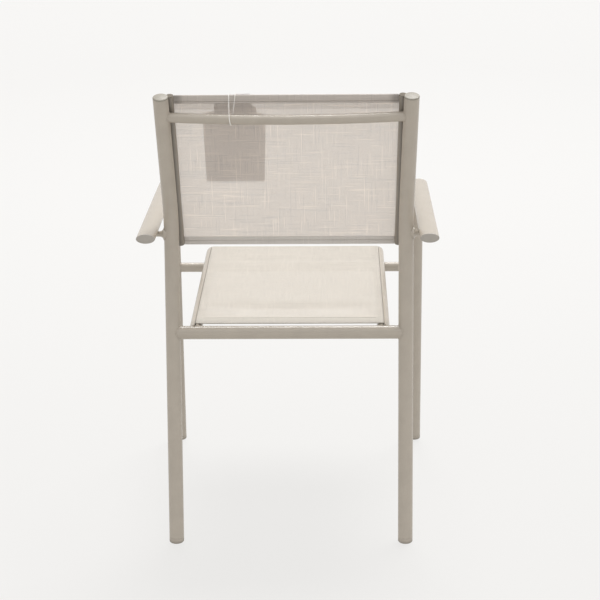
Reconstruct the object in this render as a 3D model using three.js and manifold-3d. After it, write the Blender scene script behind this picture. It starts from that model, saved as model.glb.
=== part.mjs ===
// Patio chair with a bent tube frame, a stretched seat sling and back sling, and a blank hang tag.
// Millimetres, +Z up. The sitter faces -Y, and the sitter's left side is +X.
import * as THREE from 'three';
import { mergeVertices } from 'three/addons/utils/BufferGeometryUtils.js';
import Module from 'manifold-3d';

const wasm = await Module();
wasm.setup();

// Clearance between pieces that are welded, pushed in or laid on each other
const FIT = 0.3;

// Rear posts: raked below the bend, leaning back above it
const POST = {
  diameter: 28,
  wall: 2,
  footSpread: 219.5,
  topSpread: 224.5,
  footY: 277,
  bendY: 178,
  topY: 253,
  bendZ: 615,
  topZ: 860,
  bendRadius: 180,
};

// Front legs that bend into the arms: round in the leg, pressed to an oval in the arm
const ARM = {
  legDiameter: 28,
  wall: 2,
  width: 35,
  height: 17.5,
  gapToPost: 8,
  frontY: -248,
  rearY: 266,
  level: 600,
  bendRadius: 98,
};

// Bar that carries each arm on its rear post
const BRACKET = { diameter: 10, seat: 0.5, flareDiameter: 24, flareLength: 9, overlap: 4 };

// Cross members
const REAR_BAR = { diameter: 25.4, wall: 2, z: 401.5 };
const FRONT_BAR = { diameter: 20, wall: 2, z: 395 };
const TOP_RAIL = { diameter: 18, wall: 1.6, belowSling: 35, bow: 12 };

// Seat rails: slotted tubes that climb to the front and turn down there
const SEAT_RAIL = {
  diameter: 24,
  gapToPost: 15.5,
  overRearBar: 1.1,
  bendLead: 4,
  bendRadius: 36,
  dropLength: 7,
  boreDiameter: 11,
  boreDrop: 4.3,
  copeShare: 0.62,
  dropAngleShare: 0.89,
};
const SEAT_SLOT = { width: 3, lip: 1.8, channelDiameter: 6.8, kederDiameter: 5.2 };
const SADDLE = { diameter: 15, height: 7.6 };

// Back rails: narrow slotted tubes welded along the inner front of the posts
const BACK_RAIL = { diameter: 14, lowInset: 12.5, topInset: 15, below: 67, topSetback: 7.2 };
const BACK_SLOT = { width: 2.8, lip: 2.7, channelDiameter: 6.4, kederDiameter: 5.2 };
const RAIL_CAP = { thickness: 1.6, dome: 1, pinDiameter: 4, pinLength: 5 };

// Slings
const CLOTH = { thickness: 1.2, hemInset: 1.5 };
const SEAT_SLING = { rearSetback: 9, rearHem: 30, frontHem: 12, frontSetback: 1 };
const BACK_SLING = { topHem: 15, lowHem: 17 };

// Plugs in the open tube ends
const POST_CAP = { rim: 2.6, dome: 1.2, edge: 1, stem: 12 };
const ARM_CAP = { rim: 2.4, dome: 1.4, edge: 1.2, stem: 12 };
const FOOT = { height: 8, stem: 16, soleInset: 1.4, soleHeight: 2.2 };
const RAIL_PLUG = { rim: 1.8, dome: 0.9, edge: 0.7 };

// Blank hang tag and its string
const TAG = { width: 107, height: 181, thickness: 0.6, x: 94.5, rise: 2 };
const TAG_HOLE = { diameter: 4, aside: 12.5, down: 15 };
const TAG_OUTLINE_SHARES = [
  [-0.5, 0],
  [0.5, 0],
  [0.5, 0.7],
  [0.46, 0.79],
  [0.34, 0.91],
  [-0.05, 1],
  [-0.3, 1],
  [-0.38, 0.92],
  [-0.44, 0.84],
  [-0.5, 0.7],
];
const STRING = { diameter: 1.4 };

// The string's route: across, up the back from the bend, and behind the back sling
const STRING_ROUTE = [
  [84.6, 236, -4],
  [95, 246, -4],
  [101.6, 250.8, -2],
  [103, 250.9, 0.6],
  [102.9, 248.4, 3.4],
  [101.6, 222.2, 32.2],
  [100.6, 214.5, 35.6],
  [99.6, 206.6, 32.5],
  [98.6, 203.4, 25.4],
  [97.7, 206.4, 17.8],
  [96.9, 211.5, 14.9],
  [92, 248.4, 2.6],
  [91.4, 251.4, 0],
  [91, 252.2, -2.6],
  [88.6, 249.4, -4.4],
  [85.6, 244, -4],
  [79.6, 236.6, -4],
];

// Facet counts
const TUBE_SIDES = 24;
const RAIL_SIDES = 20;
const CHANNEL_SIDES = 10;
const CORD_SIDES = 8;
const LATHE_SIDES = 18;
const BEND_STEPS = 9;
const BOW_STEPS = 8;
const ROUTE_STEPS = 48;
const HOLE_STEPS = 6;
const FLARE_SHARES = [0, 0.25, 0.5, 0.75, 1];

const METAL = { color: 0xa89c8c, roughness: 0.45, metalness: 0.35 };
const CAP_PLASTIC = { color: 0xb8b2a6, roughness: 0.5, metalness: 0 };
const FOOT_PLASTIC = { color: 0x958b80, roughness: 0.6, metalness: 0 };
const MESH_CLOTH = { color: 0xd9cfc4, roughness: 0.85, metalness: 0 };
const KEDER_PLASTIC = { color: 0x8c8479, roughness: 0.7, metalness: 0 };
const TAG_CARD = { color: 0xc9c0b4, roughness: 0.7, metalness: 0 };
const STRING_COTTON = { color: 0xf0ece4, roughness: 0.9, metalness: 0 };

const X = new THREE.Vector3(1, 0, 0);
const Y = new THREE.Vector3(0, 1, 0);
const Z = new THREE.Vector3(0, 0, 1);

const chair = new THREE.Group();

function addPiece(name, geometry, finish) {
  const mesh = new THREE.Mesh(geometry, new THREE.MeshStandardMaterial(finish));
  mesh.name = name;
  chair.add(mesh);
  return mesh;
}

// A path's stations hold a point, a direction, the distance run and the share of the turns made
function roundedPath(corners, radii, steps) {
  const stations = [];
  let distance = 0;
  const push = (point, tangent, turn) => {
    if (stations.length > 0) {
      distance += point.distanceTo(stations[stations.length - 1].point);
    }
    stations.push({ point, tangent, turn, distance });
  };
  const first = corners[1].clone().sub(corners[0]).normalize();
  push(corners[0].clone(), first, 0);
  for (let i = 1; i < corners.length - 1; i += 1) {
    const before = corners[i].clone().sub(corners[i - 1]).normalize();
    const after = corners[i + 1].clone().sub(corners[i]).normalize();
    const angle = before.angleTo(after);
    const radius = radii[i - 1];
    const start = corners[i].clone().addScaledVector(before, -radius * Math.tan(angle / 2));
    const inward = after.clone().addScaledVector(before, -Math.cos(angle)).normalize();
    for (let k = 0; k <= steps; k += 1) {
      const phi = (angle * k) / steps;
      const point = start.clone()
        .addScaledVector(before, radius * Math.sin(phi))
        .addScaledVector(inward, radius * (1 - Math.cos(phi)));
      const tangent = before.clone().multiplyScalar(Math.cos(phi)).addScaledVector(inward, Math.sin(phi));
      push(point, tangent, (i - 1 + k / steps) / (corners.length - 2));
    }
  }
  const last = corners[corners.length - 1];
  push(last.clone(), last.clone().sub(corners[corners.length - 2]).normalize(), 1);
  return stations;
}

function straightPath(from, to) {
  const tangent = to.clone().sub(from).normalize();
  return [
    { point: from.clone(), tangent, turn: 0, distance: 0 },
    { point: to.clone(), tangent, turn: 1, distance: from.distanceTo(to) },
  ];
}

// The stretch of a path between two distances, with its end stations worked out in between
function stretch(path, from, to) {
  const at = (distance) => {
    let i = 1;
    while (i < path.length - 1 && path[i].distance < distance) {
      i += 1;
    }
    const a = path[i - 1];
    const b = path[i];
    const share = (distance - a.distance) / (b.distance - a.distance);
    return {
      point: a.point.clone().lerp(b.point, share),
      tangent: a.tangent.clone().lerp(b.tangent, share).normalize(),
      turn: a.turn + (b.turn - a.turn) * share,
      distance,
    };
  };
  const inner = path.filter((station) => station.distance > from + FIT && station.distance < to - FIT);
  return [at(from), ...inner, at(to)];
}

// Sweeps a section along a path; "side" is the direction that the section's first axis keeps to
function sweep(stations, side, sectionAt) {
  const positions = [];
  const faces = [];
  const rings = stations.map((station, index) => sectionAt(station, index / (stations.length - 1)));
  stations.forEach((station, k) => {
    const across = side.clone().addScaledVector(station.tangent, -side.dot(station.tangent)).normalize();
    const lift = station.tangent.clone().cross(across);
    [rings[k].outline, ...rings[k].holes].flat().forEach((p) => {
      const point = station.point.clone().addScaledVector(across, p.x).addScaledVector(lift, p.y);
      positions.push(point.x, point.y, point.z);
    });
  });
  const loops = [rings[0].outline, ...rings[0].holes];
  const count = loops.flat().length;
  for (let k = 0; k < stations.length - 1; k += 1) {
    let offset = 0;
    loops.forEach((loop) => {
      loop.forEach((_, j) => {
        const a = k * count + offset + j;
        const b = k * count + offset + ((j + 1) % loop.length);
        faces.push(a, b, b + count, a, b + count, a + count);
      });
      offset += loop.length;
    });
  }
  const last = (stations.length - 1) * count;
  const startFaces = THREE.ShapeUtils.triangulateShape(rings[0].outline, rings[0].holes);
  const endRing = rings[rings.length - 1];
  const endFaces = THREE.ShapeUtils.triangulateShape(endRing.outline, endRing.holes);
  startFaces.forEach(([a, b, c]) => faces.push(c, b, a));
  endFaces.forEach(([a, b, c]) => faces.push(last + a, last + b, last + c));
  const geometry = new THREE.BufferGeometry();
  geometry.setAttribute('position', new THREE.Float32BufferAttribute(positions, 3));
  geometry.setIndex(faces);
  geometry.computeVertexNormals();
  return geometry;
}

function oval(a, b, sides) {
  return Array.from({ length: sides }, (_, i) => {
    const angle = (2 * Math.PI * i) / sides;
    return new THREE.Vector2(a * Math.cos(angle), b * Math.sin(angle));
  });
}

function solidOval(a, b, sides) {
  return { outline: oval(a, b, sides), holes: [] };
}

function hollowOval(a, b, wall, sides) {
  return { outline: oval(a, b, sides), holes: [oval(a - wall, b - wall, sides).reverse()] };
}

// Height of the keder cord's centre over the centre of its slotted rail
function kederOffset(railRadius, slot) {
  const reach = Math.sqrt((slot.channelDiameter / 2) ** 2 - (slot.width / 2) ** 2);
  return railRadius - slot.lip - reach;
}

// Round rail with a keder channel behind a slot that opens towards "facing"
function slottedRound(radius, slot, facing) {
  const outline = [];
  const half = Math.asin(slot.width / 2 / radius);
  for (let i = 0; i <= RAIL_SIDES; i += 1) {
    const angle = half + ((2 * Math.PI - 2 * half) * i) / RAIL_SIDES;
    outline.push(new THREE.Vector2(radius * Math.cos(angle), radius * Math.sin(angle)));
  }
  const channel = slot.channelDiameter / 2;
  const centre = kederOffset(radius, slot);
  const mouth = Math.asin(slot.width / 2 / channel);
  for (let i = 0; i <= CHANNEL_SIDES; i += 1) {
    const angle = -mouth - ((2 * Math.PI - 2 * mouth) * i) / CHANNEL_SIDES;
    outline.push(new THREE.Vector2(centre + channel * Math.cos(angle), channel * Math.sin(angle)));
  }
  const origin = new THREE.Vector2();
  outline.forEach((p) => p.rotateAround(origin, facing));
  return outline;
}

function solidOf(geometry) {
  const plain = geometry.clone();
  plain.deleteAttribute('normal');
  plain.deleteAttribute('uv');
  const merged = mergeVertices(plain);
  return new wasm.Manifold(new wasm.Mesh({
    numProp: 3,
    vertProperties: merged.attributes.position.array,
    triVerts: new Uint32Array(merged.index.array),
  }));
}

function geometryOf(solid) {
  const mesh = solid.getMesh();
  const geometry = new THREE.BufferGeometry();
  geometry.setAttribute('position', new THREE.BufferAttribute(mesh.vertProperties, 3));
  geometry.setIndex(new THREE.BufferAttribute(mesh.triVerts, 1));
  geometry.computeVertexNormals();
  return geometry;
}

// Turned solid standing on "point" along "axis"; the profile runs from the axis and back to it
function turned(profile, point, axis) {
  const geometry = new THREE.LatheGeometry(profile.map(([r, h]) => new THREE.Vector2(r, h)), LATHE_SIDES);
  geometry.applyQuaternion(new THREE.Quaternion().setFromUnitVectors(Y, axis));
  geometry.translate(point.x, point.y, point.z);
  return geometry;
}

// Push-in plug: a stem below the tube end, a rim on it and a low dome
function plugProfile(rimRadius, stemRadius, plug) {
  return [
    [0, -plug.stem],
    [stemRadius, -plug.stem],
    [stemRadius, FIT],
    [rimRadius, FIT],
    [rimRadius, FIT + plug.rim - plug.edge],
    [rimRadius - plug.edge, FIT + plug.rim],
    [rimRadius / 2, FIT + plug.rim + plug.dome * 0.75],
    [0, FIT + plug.rim + plug.dome],
  ];
}

// Rear posts
function postCorners(side) {
  return [
    new THREE.Vector3(side * POST.footSpread, POST.footY, 0),
    new THREE.Vector3(side * POST.footSpread, POST.bendY, POST.bendZ),
    new THREE.Vector3(side * POST.topSpread, POST.topY, POST.topZ),
  ];
}

function postPath(side) {
  const path = roundedPath(postCorners(side), [POST.bendRadius], BEND_STEPS);
  const length = path[path.length - 1].distance;
  return stretch(path, FOOT.height, length - POST_CAP.rim - POST_CAP.dome);
}

// Centre of a rear post at the height z
function postAt(side, z) {
  const path = postPath(side);
  const i = path.findIndex((station) => station.point.z > z);
  const a = path[i - 1].point;
  const b = path[i].point;
  return a.clone().lerp(b, (z - a.z) / (b.z - a.z));
}

// The leaning plane of the upper posts: "along" runs up it from the bend, "rear" points behind it
const backUp = new THREE.Vector3(0, POST.topY - POST.bendY, POST.topZ - POST.bendZ).normalize();
const backRear = new THREE.Vector3(0, backUp.z, -backUp.y);
const backLength = Math.hypot(POST.topY - POST.bendY, POST.topZ - POST.bendZ);

function backPoint(x, along, rear) {
  return new THREE.Vector3(x, POST.bendY, POST.bendZ)
    .addScaledVector(backUp, along)
    .addScaledVector(backRear, rear);
}

// How far a back rail's centre lies in front of the post's centre, where the two tubes touch
function railForward(railSpread, postSpread) {
  const reach = (POST.diameter + BACK_RAIL.diameter) / 2 + FIT;
  return Math.sqrt(reach ** 2 - (postSpread - railSpread) ** 2);
}

const railSpreadLow = POST.footSpread - BACK_RAIL.lowInset;
const railSpreadTop = POST.topSpread - BACK_RAIL.topInset;
const railTop = backLength - BACK_RAIL.topSetback;
const forwardLow = railForward(railSpreadLow, POST.footSpread);
const forwardTop = railForward(railSpreadTop, POST.topSpread);

function onBackRails(value, low, top) {
  return low + ((top - low) * value) / backLength;
}

function railSpreadAt(along) {
  return onBackRails(along, railSpreadLow, railSpreadTop);
}

function slingPoint(x, along, rear) {
  return backPoint(x, along, rear - onBackRails(along, forwardLow, forwardTop));
}

const slingUp = slingPoint(0, railTop, 0).sub(slingPoint(0, -BACK_RAIL.below, 0)).normalize();

const sides = [['left', 1], ['right', -1]];
const postRadius = POST.diameter / 2;
const posts = {};
sides.forEach(([label, side]) => {
  const path = postPath(side);
  const section = hollowOval(postRadius, postRadius, POST.wall, TUBE_SIDES);
  addPiece(`rear_post_${label}`, sweep(path, X, () => section), METAL);
  const grown = solidOval(postRadius + FIT, postRadius + FIT, TUBE_SIDES);
  posts[label] = solidOf(sweep(path, X, () => grown));
  const end = path[path.length - 1];
  const profile = plugProfile(postRadius, postRadius - POST.wall - FIT, POST_CAP);
  addPiece(`post_cap_${label}`, turned(profile, end.point, end.tangent), CAP_PLASTIC);
});

// Feet: plugs in the tube ends, cut level at the floor
function footSolid(end, tubeRadius, wall) {
  const start = end.point.clone().addScaledVector(end.tangent, -FOOT.height);
  const stemRadius = tubeRadius - wall - FIT;
  const plug = turned([
    [0, -FOOT.height],
    [tubeRadius, -FOOT.height],
    [tubeRadius, FOOT.height - FIT],
    [stemRadius, FOOT.height - FIT],
    [stemRadius, FOOT.height + FOOT.stem],
    [0, FOOT.height + FOOT.stem],
  ], start, end.tangent);
  const soleRadius = tubeRadius - FOOT.soleInset;
  const floorPoint = new THREE.Vector3(start.x, start.y, 0);
  const bowlHeight = FOOT.height + FOOT.stem + tubeRadius;
  const bowl = turned([
    [0, 0],
    [soleRadius, 0],
    [tubeRadius + FIT, FOOT.soleHeight],
    [2 * tubeRadius, bowlHeight],
    [0, bowlHeight],
  ], floorPoint, Z);
  return geometryOf(solidOf(plug).intersect(solidOf(bowl)));
}

sides.forEach(([label, side]) => {
  addPiece(`rear_foot_${label}`, footSolid(postPath(side)[0], postRadius, POST.wall), FOOT_PLASTIC);
});

// Front leg and arm in one tube: the section turns from round to oval through the bend
const legRadius = ARM.legDiameter / 2;
const armSpread = POST.footSpread + postRadius + ARM.gapToPost + ARM.width / 2;

function armPath(side) {
  const corners = [
    new THREE.Vector3(side * armSpread, ARM.frontY, FOOT.height),
    new THREE.Vector3(side * armSpread, ARM.frontY, ARM.level),
    new THREE.Vector3(side * armSpread, ARM.rearY, ARM.level),
  ];
  return roundedPath(corners, [ARM.bendRadius], BEND_STEPS);
}

function armOval(turn) {
  const eased = turn * turn * (3 - 2 * turn);
  return [
    legRadius + (ARM.width / 2 - legRadius) * eased,
    legRadius + (ARM.height / 2 - legRadius) * eased,
  ];
}

const arms = {};
sides.forEach(([label, side]) => {
  const path = armPath(side);
  addPiece(`arm_leg_${label}`, sweep(path, X, ({ turn }) => {
    const [a, b] = armOval(turn);
    return hollowOval(a, b, ARM.wall, TUBE_SIDES);
  }), METAL);
  arms[label] = solidOf(sweep(path, X, ({ turn }) => {
    const [a, b] = armOval(turn);
    return solidOval(a + FIT, b + FIT, TUBE_SIDES);
  }));
  addPiece(`front_foot_${label}`, footSolid(path[0], legRadius, ARM.wall), FOOT_PLASTIC);
});

// Oval plugs that close the rear ends of the arms
sides.forEach(([label, side]) => {
  const a = ARM.width / 2;
  const b = ARM.height / 2;
  const insert = ARM.wall + FIT;
  const rings = [
    [-ARM_CAP.stem, insert],
    [FIT, insert],
    [FIT, 0],
    [FIT + ARM_CAP.rim - ARM_CAP.edge, 0],
    [FIT + ARM_CAP.rim, ARM_CAP.edge],
    [FIT + ARM_CAP.rim + ARM_CAP.dome, b * 0.6],
  ];
  const path = rings.map(([reach, inset]) => ({
    point: new THREE.Vector3(side * armSpread, ARM.rearY + reach, ARM.level),
    tangent: Y,
    inset,
  }));
  const shape = sweep(path, X, ({ inset }) => solidOval(a - inset, b - inset, TUBE_SIDES));
  addPiece(`arm_end_cap_${label}`, shape, CAP_PLASTIC);
});

// Brackets: short round bars with a flare on the post, welded under the arms
sides.forEach(([label, side]) => {
  const z = ARM.level + BRACKET.seat - (ARM.height + BRACKET.diameter) / 2;
  const from = postAt(side, z);
  const to = new THREE.Vector3(side * (armSpread + BRACKET.overlap), from.y, z);
  const path = straightPath(from, to);
  const postSide = postRadius + FIT;
  const stations = FLARE_SHARES.map((share) => stretch(path, 0, postSide + BRACKET.flareLength * share)[1]);
  const run = [path[0], ...stations, path[1]];
  const radiusAt = (distance) => {
    const share = Math.min(1, Math.max(0, (distance - postSide) / BRACKET.flareLength));
    const flare = 1 - Math.sqrt(1 - (1 - share) ** 2);
    return BRACKET.diameter / 2 + (BRACKET.flareDiameter - BRACKET.diameter) / 2 * flare;
  };
  const bar = sweep(run, Y, ({ distance }) => solidOval(radiusAt(distance), radiusAt(distance), RAIL_SIDES));
  const cut = solidOf(bar).subtract(posts[label]).subtract(arms[label]);
  addPiece(`arm_bracket_${label}`, geometryOf(cut), METAL);
});

// Cross members, coped to the tubes that they are welded to
function copedBar(stations, radius, wall, sideAxis, cutters) {
  let solid = solidOf(sweep(stations, sideAxis, () => hollowOval(radius, radius, wall, TUBE_SIDES)));
  cutters.forEach((cutter) => {
    solid = solid.subtract(cutter);
  });
  return geometryOf(solid);
}

const rearBarRadius = REAR_BAR.diameter / 2;
const rearBarPath = straightPath(postAt(-1, REAR_BAR.z), postAt(1, REAR_BAR.z));
const postCutters = [posts.left, posts.right];
addPiece('rear_seat_bar', copedBar(rearBarPath, rearBarRadius, REAR_BAR.wall, Y, postCutters), METAL);

const frontBarRadius = FRONT_BAR.diameter / 2;
const frontBarPath = straightPath(
  new THREE.Vector3(-armSpread, ARM.frontY, FRONT_BAR.z),
  new THREE.Vector3(armSpread, ARM.frontY, FRONT_BAR.z),
);
const legCutters = [arms.left, arms.right];
addPiece('front_seat_bar', copedBar(frontBarPath, frontBarRadius, FRONT_BAR.wall, Y, legCutters), METAL);

// The top rail bows to the rear between the posts
function topRailPath() {
  const along = railTop - TOP_RAIL.belowSling;
  const half = POST.footSpread + ((POST.topSpread - POST.footSpread) * along) / backLength;
  const radius = (half ** 2 + TOP_RAIL.bow ** 2) / (2 * TOP_RAIL.bow);
  const sweepAngle = Math.asin(half / radius);
  return Array.from({ length: BOW_STEPS + 1 }, (_, i) => {
    const phi = -sweepAngle + (2 * sweepAngle * i) / BOW_STEPS;
    const rear = radius * Math.cos(phi) - (radius - TOP_RAIL.bow);
    const tangent = X.clone().multiplyScalar(Math.cos(phi)).addScaledVector(backRear, -Math.sin(phi));
    return { point: backPoint(radius * Math.sin(phi), along, rear), tangent };
  });
}

const topRailRadius = TOP_RAIL.diameter / 2;
addPiece('back_top_rail', copedBar(topRailPath(), topRailRadius, TOP_RAIL.wall, Z, postCutters), METAL);

// Seat rails, keder cords and seat sling share one path
const seatRadius = SEAT_RAIL.diameter / 2;
const seatSpread = POST.footSpread - postRadius - SEAT_RAIL.gapToPost - seatRadius;
const overFrontBar = frontBarRadius + SADDLE.height + seatRadius;

function seatPath(x) {
  const rear = new THREE.Vector3(x, rearBarPath[0].point.y, REAR_BAR.z + SEAT_RAIL.overRearBar);
  const front = new THREE.Vector3(x, ARM.frontY, FRONT_BAR.z + overFrontBar);
  const climb = front.clone().sub(rear).normalize();
  const angle = (SEAT_RAIL.dropAngleShare * Math.PI) / 2;
  const setback = SEAT_RAIL.bendRadius * Math.tan(angle / 2);
  const corner = front.clone().addScaledVector(climb, SEAT_RAIL.bendLead + setback);
  const down = climb.clone().applyAxisAngle(X, angle);
  const end = corner.clone().addScaledVector(down, setback + SEAT_RAIL.dropLength);
  return roundedPath([rear, corner, end], [SEAT_RAIL.bendRadius], BEND_STEPS);
}

const seatRun = seatPath(0);
const seatLength = seatRun[seatRun.length - 1].distance;
const railStart = rearBarRadius * SEAT_RAIL.copeShare;
const kederHeight = kederOffset(seatRadius, SEAT_SLOT);
const kederRadius = SEAT_SLOT.kederDiameter / 2;

function cutter(path, sideAxis, radius) {
  return solidOf(sweep(path, sideAxis, () => solidOval(radius + FIT, radius + FIT, TUBE_SIDES)));
}

function moved(points, x, y) {
  return points.map((p) => new THREE.Vector2(p.x + x, p.y + y));
}

const grownBar = cutter(rearBarPath, Y, rearBarRadius);
const grownFrontBar = cutter(frontBarPath, Y, frontBarRadius);

sides.forEach(([label, side]) => {
  const path = seatPath(side * seatSpread);
  const run = stretch(path, railStart, seatLength);
  const railBore = SEAT_RAIL.boreDiameter / 2;
  const bore = moved(oval(railBore, railBore, CHANNEL_SIDES), 0, -SEAT_RAIL.boreDrop).reverse();
  const section = { outline: slottedRound(seatRadius, SEAT_SLOT, Math.PI / 2), holes: [bore] };
  const rail = solidOf(sweep(run, X, () => section)).subtract(grownBar);
  addPiece(`seat_rail_${label}`, geometryOf(rail), METAL);

  const cord = moved(oval(kederRadius, kederRadius, CORD_SIDES), 0, kederHeight);
  const cordRun = stretch(path, SEAT_SLING.rearSetback + FIT, seatLength - FIT);
  const keder = solidOf(sweep(cordRun, X, () => ({ outline: cord, holes: [] }))).subtract(grownBar);
  addPiece(`seat_keder_${label}`, geometryOf(keder), KEDER_PLASTIC);

  const end = path[path.length - 1];
  const boreRadius = railBore - FIT;
  const lift = end.tangent.clone().cross(X);
  const rim = turned([
    [0, FIT],
    [seatRadius, FIT],
    [seatRadius, FIT + RAIL_PLUG.rim - RAIL_PLUG.edge],
    [seatRadius - RAIL_PLUG.edge, FIT + RAIL_PLUG.rim],
    [0, FIT + RAIL_PLUG.rim + RAIL_PLUG.dome],
  ], end.point, end.tangent);
  const stemFoot = end.point.clone().addScaledVector(lift, -SEAT_RAIL.boreDrop);
  const stem = turned([
    [0, FIT - SEAT_RAIL.dropLength],
    [boreRadius, FIT - SEAT_RAIL.dropLength],
    [boreRadius, FIT + RAIL_PLUG.rim / 2],
    [0, FIT + RAIL_PLUG.rim / 2],
  ], stemFoot, end.tangent);
  addPiece(`seat_rail_plug_${label}`, geometryOf(solidOf(rim).add(solidOf(stem))), CAP_PLASTIC);

  const grownRail = cutter(run, X, seatRadius);
  const saddleRadius = SADDLE.diameter / 2;
  const saddleFoot = new THREE.Vector3(side * seatSpread, ARM.frontY, FRONT_BAR.z);
  const saddle = turned([
    [0, 0],
    [saddleRadius, 0],
    [saddleRadius, overFrontBar],
    [0, overFrontBar],
  ], saddleFoot, Z);
  const cut = solidOf(saddle).subtract(grownFrontBar).subtract(grownRail);
  addPiece(`seat_saddle_${label}`, geometryOf(cut), METAL);
});

// Seat sling: over the rails, with its edges turned down into their slots
function seatSlingSection() {
  const outer = seatSpread + CLOTH.thickness / 2;
  const inner = outer - CLOTH.thickness;
  const low = seatRadius + FIT;
  const high = low + CLOTH.thickness;
  const edge = kederHeight + kederRadius + FIT;
  const outline = [
    [-outer, edge],
    [-inner, edge],
    [-inner, low],
    [inner, low],
    [inner, edge],
    [outer, edge],
    [outer, high],
    [-outer, high],
  ].map(([x, y]) => new THREE.Vector2(x, y));
  return { outline, holes: [] };
}

function rectangle(left, right, low, high) {
  return [[left, low], [right, low], [right, high], [left, high]].map(([x, y]) => new THREE.Vector2(x, y));
}

// The hems are folded under, between the rails
function seatHemSection() {
  const half = seatSpread - seatRadius / 2;
  const high = seatRadius + FIT + CLOTH.thickness / 2;
  const low = seatRadius + FIT - CLOTH.thickness;
  return { outline: rectangle(-half, half, low, high), holes: [] };
}

function seatBand(from, to, section) {
  return solidOf(sweep(stretch(seatRun, from, to), X, section));
}

const slingStart = SEAT_SLING.rearSetback;
const slingEnd = seatLength - SEAT_SLING.frontSetback;
const seatBody = seatBand(slingStart, slingEnd, seatSlingSection);
const rearHem = seatBand(slingStart, slingStart + SEAT_SLING.rearHem, seatHemSection);
const frontHem = seatBand(slingEnd - SEAT_SLING.frontHem, slingEnd, seatHemSection);
addPiece('seat_sling', geometryOf(seatBody.add(rearHem).add(frontHem)), MESH_CLOTH);

// Back rails with their keder cords and end caps
const backRadius = BACK_RAIL.diameter / 2;
const backKeder = kederOffset(backRadius, BACK_SLOT);
sides.forEach(([label, side]) => {
  const low = slingPoint(side * railSpreadAt(-BACK_RAIL.below), -BACK_RAIL.below, 0);
  const top = slingPoint(side * railSpreadAt(railTop), railTop, 0);
  const path = straightPath(low, top);
  const length = path[1].distance;
  const facing = side > 0 ? Math.PI : 0;
  const section = { outline: slottedRound(backRadius, BACK_SLOT, facing), holes: [] };
  addPiece(`back_rail_${label}`, sweep(path, X, () => section), METAL);

  const radius = BACK_SLOT.kederDiameter / 2;
  const cord = moved(oval(radius, radius, CORD_SIDES), -side * backKeder, 0);
  const inset = RAIL_CAP.pinLength + FIT;
  const run = stretch(path, inset, length - inset);
  addPiece(`back_keder_${label}`, sweep(run, X, () => ({ outline: cord, holes: [] })), KEDER_PLASTIC);

  const pinRadius = RAIL_CAP.pinDiameter / 2;
  const ends = [['top', path[1], 1], ['low', path[0], -1]];
  ends.forEach(([place, end, way]) => {
    const axis = end.tangent.clone().multiplyScalar(way);
    const disc = turned([
      [0, FIT],
      [backRadius, FIT],
      [backRadius, FIT + RAIL_CAP.thickness],
      [0, FIT + RAIL_CAP.thickness + RAIL_CAP.dome],
    ], end.point, axis);
    const pinPoint = end.point.clone().addScaledVector(X, -side * backKeder);
    const pin = turned([
      [0, -RAIL_CAP.pinLength],
      [pinRadius, -RAIL_CAP.pinLength],
      [pinRadius, FIT + RAIL_CAP.thickness / 2],
      [0, FIT + RAIL_CAP.thickness / 2],
    ], pinPoint, axis);
    addPiece(`back_rail_cap_${place}_${label}`, geometryOf(solidOf(disc).add(solidOf(pin))), CAP_PLASTIC);
  });
});

// Back sling: flat between the back rails, its edges in their slots, a folded hem at each end
function backSlingSection(along, reach, front) {
  const half = railSpreadAt(along) - reach;
  const rear = CLOTH.thickness / 2;
  return { outline: rectangle(-half, half, -front, rear), holes: [] };
}

function backBand(from, to, reach, front) {
  const path = straightPath(slingPoint(0, from, 0), slingPoint(0, to, 0));
  return solidOf(sweep(path, X, (_, share) => backSlingSection(from + (to - from) * share, reach, front)));
}

const tongueReach = backKeder + BACK_SLOT.kederDiameter / 2 + FIT;
const hemReach = backRadius + CLOTH.hemInset;
const hemFront = CLOTH.thickness * 1.5;
const slingLow = -BACK_RAIL.below + FIT;
const slingTop = railTop - FIT;
const backBody = backBand(slingLow, slingTop, tongueReach, CLOTH.thickness / 2);
const topHem = backBand(slingTop - BACK_SLING.topHem, slingTop, hemReach, hemFront);
const lowHem = backBand(slingLow, slingLow + BACK_SLING.lowHem, hemReach, hemFront);
addPiece('back_sling', geometryOf(backBody.add(topHem).add(lowHem)), MESH_CLOTH);

// Hang tag: a blank card with a tapered head, hanging in front of the back sling
function hangTag() {
  const corners = TAG_OUTLINE_SHARES.map(([x, y]) => new THREE.Vector2(x * TAG.width, y * TAG.height));
  const shape = new THREE.Shape(corners);
  const hole = new THREE.Path();
  hole.absarc(-TAG_HOLE.aside, TAG.height - TAG_HOLE.down, TAG_HOLE.diameter / 2, 0, 2 * Math.PI, true);
  shape.holes.push(hole);
  const card = { depth: TAG.thickness, bevelEnabled: false, curveSegments: HOLE_STEPS };
  const geometry = new THREE.ExtrudeGeometry(shape, card);
  const front = X.clone().cross(slingUp);
  const origin = slingPoint(TAG.x, railTop + TAG.rise - TAG.height, -hemFront - FIT);
  geometry.applyMatrix4(new THREE.Matrix4().makeBasis(X, slingUp, front).setPosition(origin));
  return geometry;
}

addPiece('hang_tag', hangTag(), TAG_CARD);

const route = new THREE.CatmullRomCurve3(STRING_ROUTE.map(([x, along, rear]) => slingPoint(x, along, rear)));
const stringShape = new THREE.Shape(oval(STRING.diameter / 2, STRING.diameter / 2, CORD_SIDES));
const stringRun = { steps: ROUTE_STEPS, extrudePath: route, bevelEnabled: false };
addPiece('tag_string', new THREE.ExtrudeGeometry(stringShape, stringRun), STRING_COTTON);

// The origin is the middle of the chair's footprint, on the floor
const box = new THREE.Box3().setFromObject(chair);
chair.position.y = -(box.min.y + box.max.y) / 2;

const model = new THREE.Group();
model.add(chair);

export default model;
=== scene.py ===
"""Sling patio chair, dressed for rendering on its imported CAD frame.

Metres throughout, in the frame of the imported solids: +Z is up, the sitter faces -Y, the sitter's
left is +X, and the origin is the middle of the footprint on the floor.
"""

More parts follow.
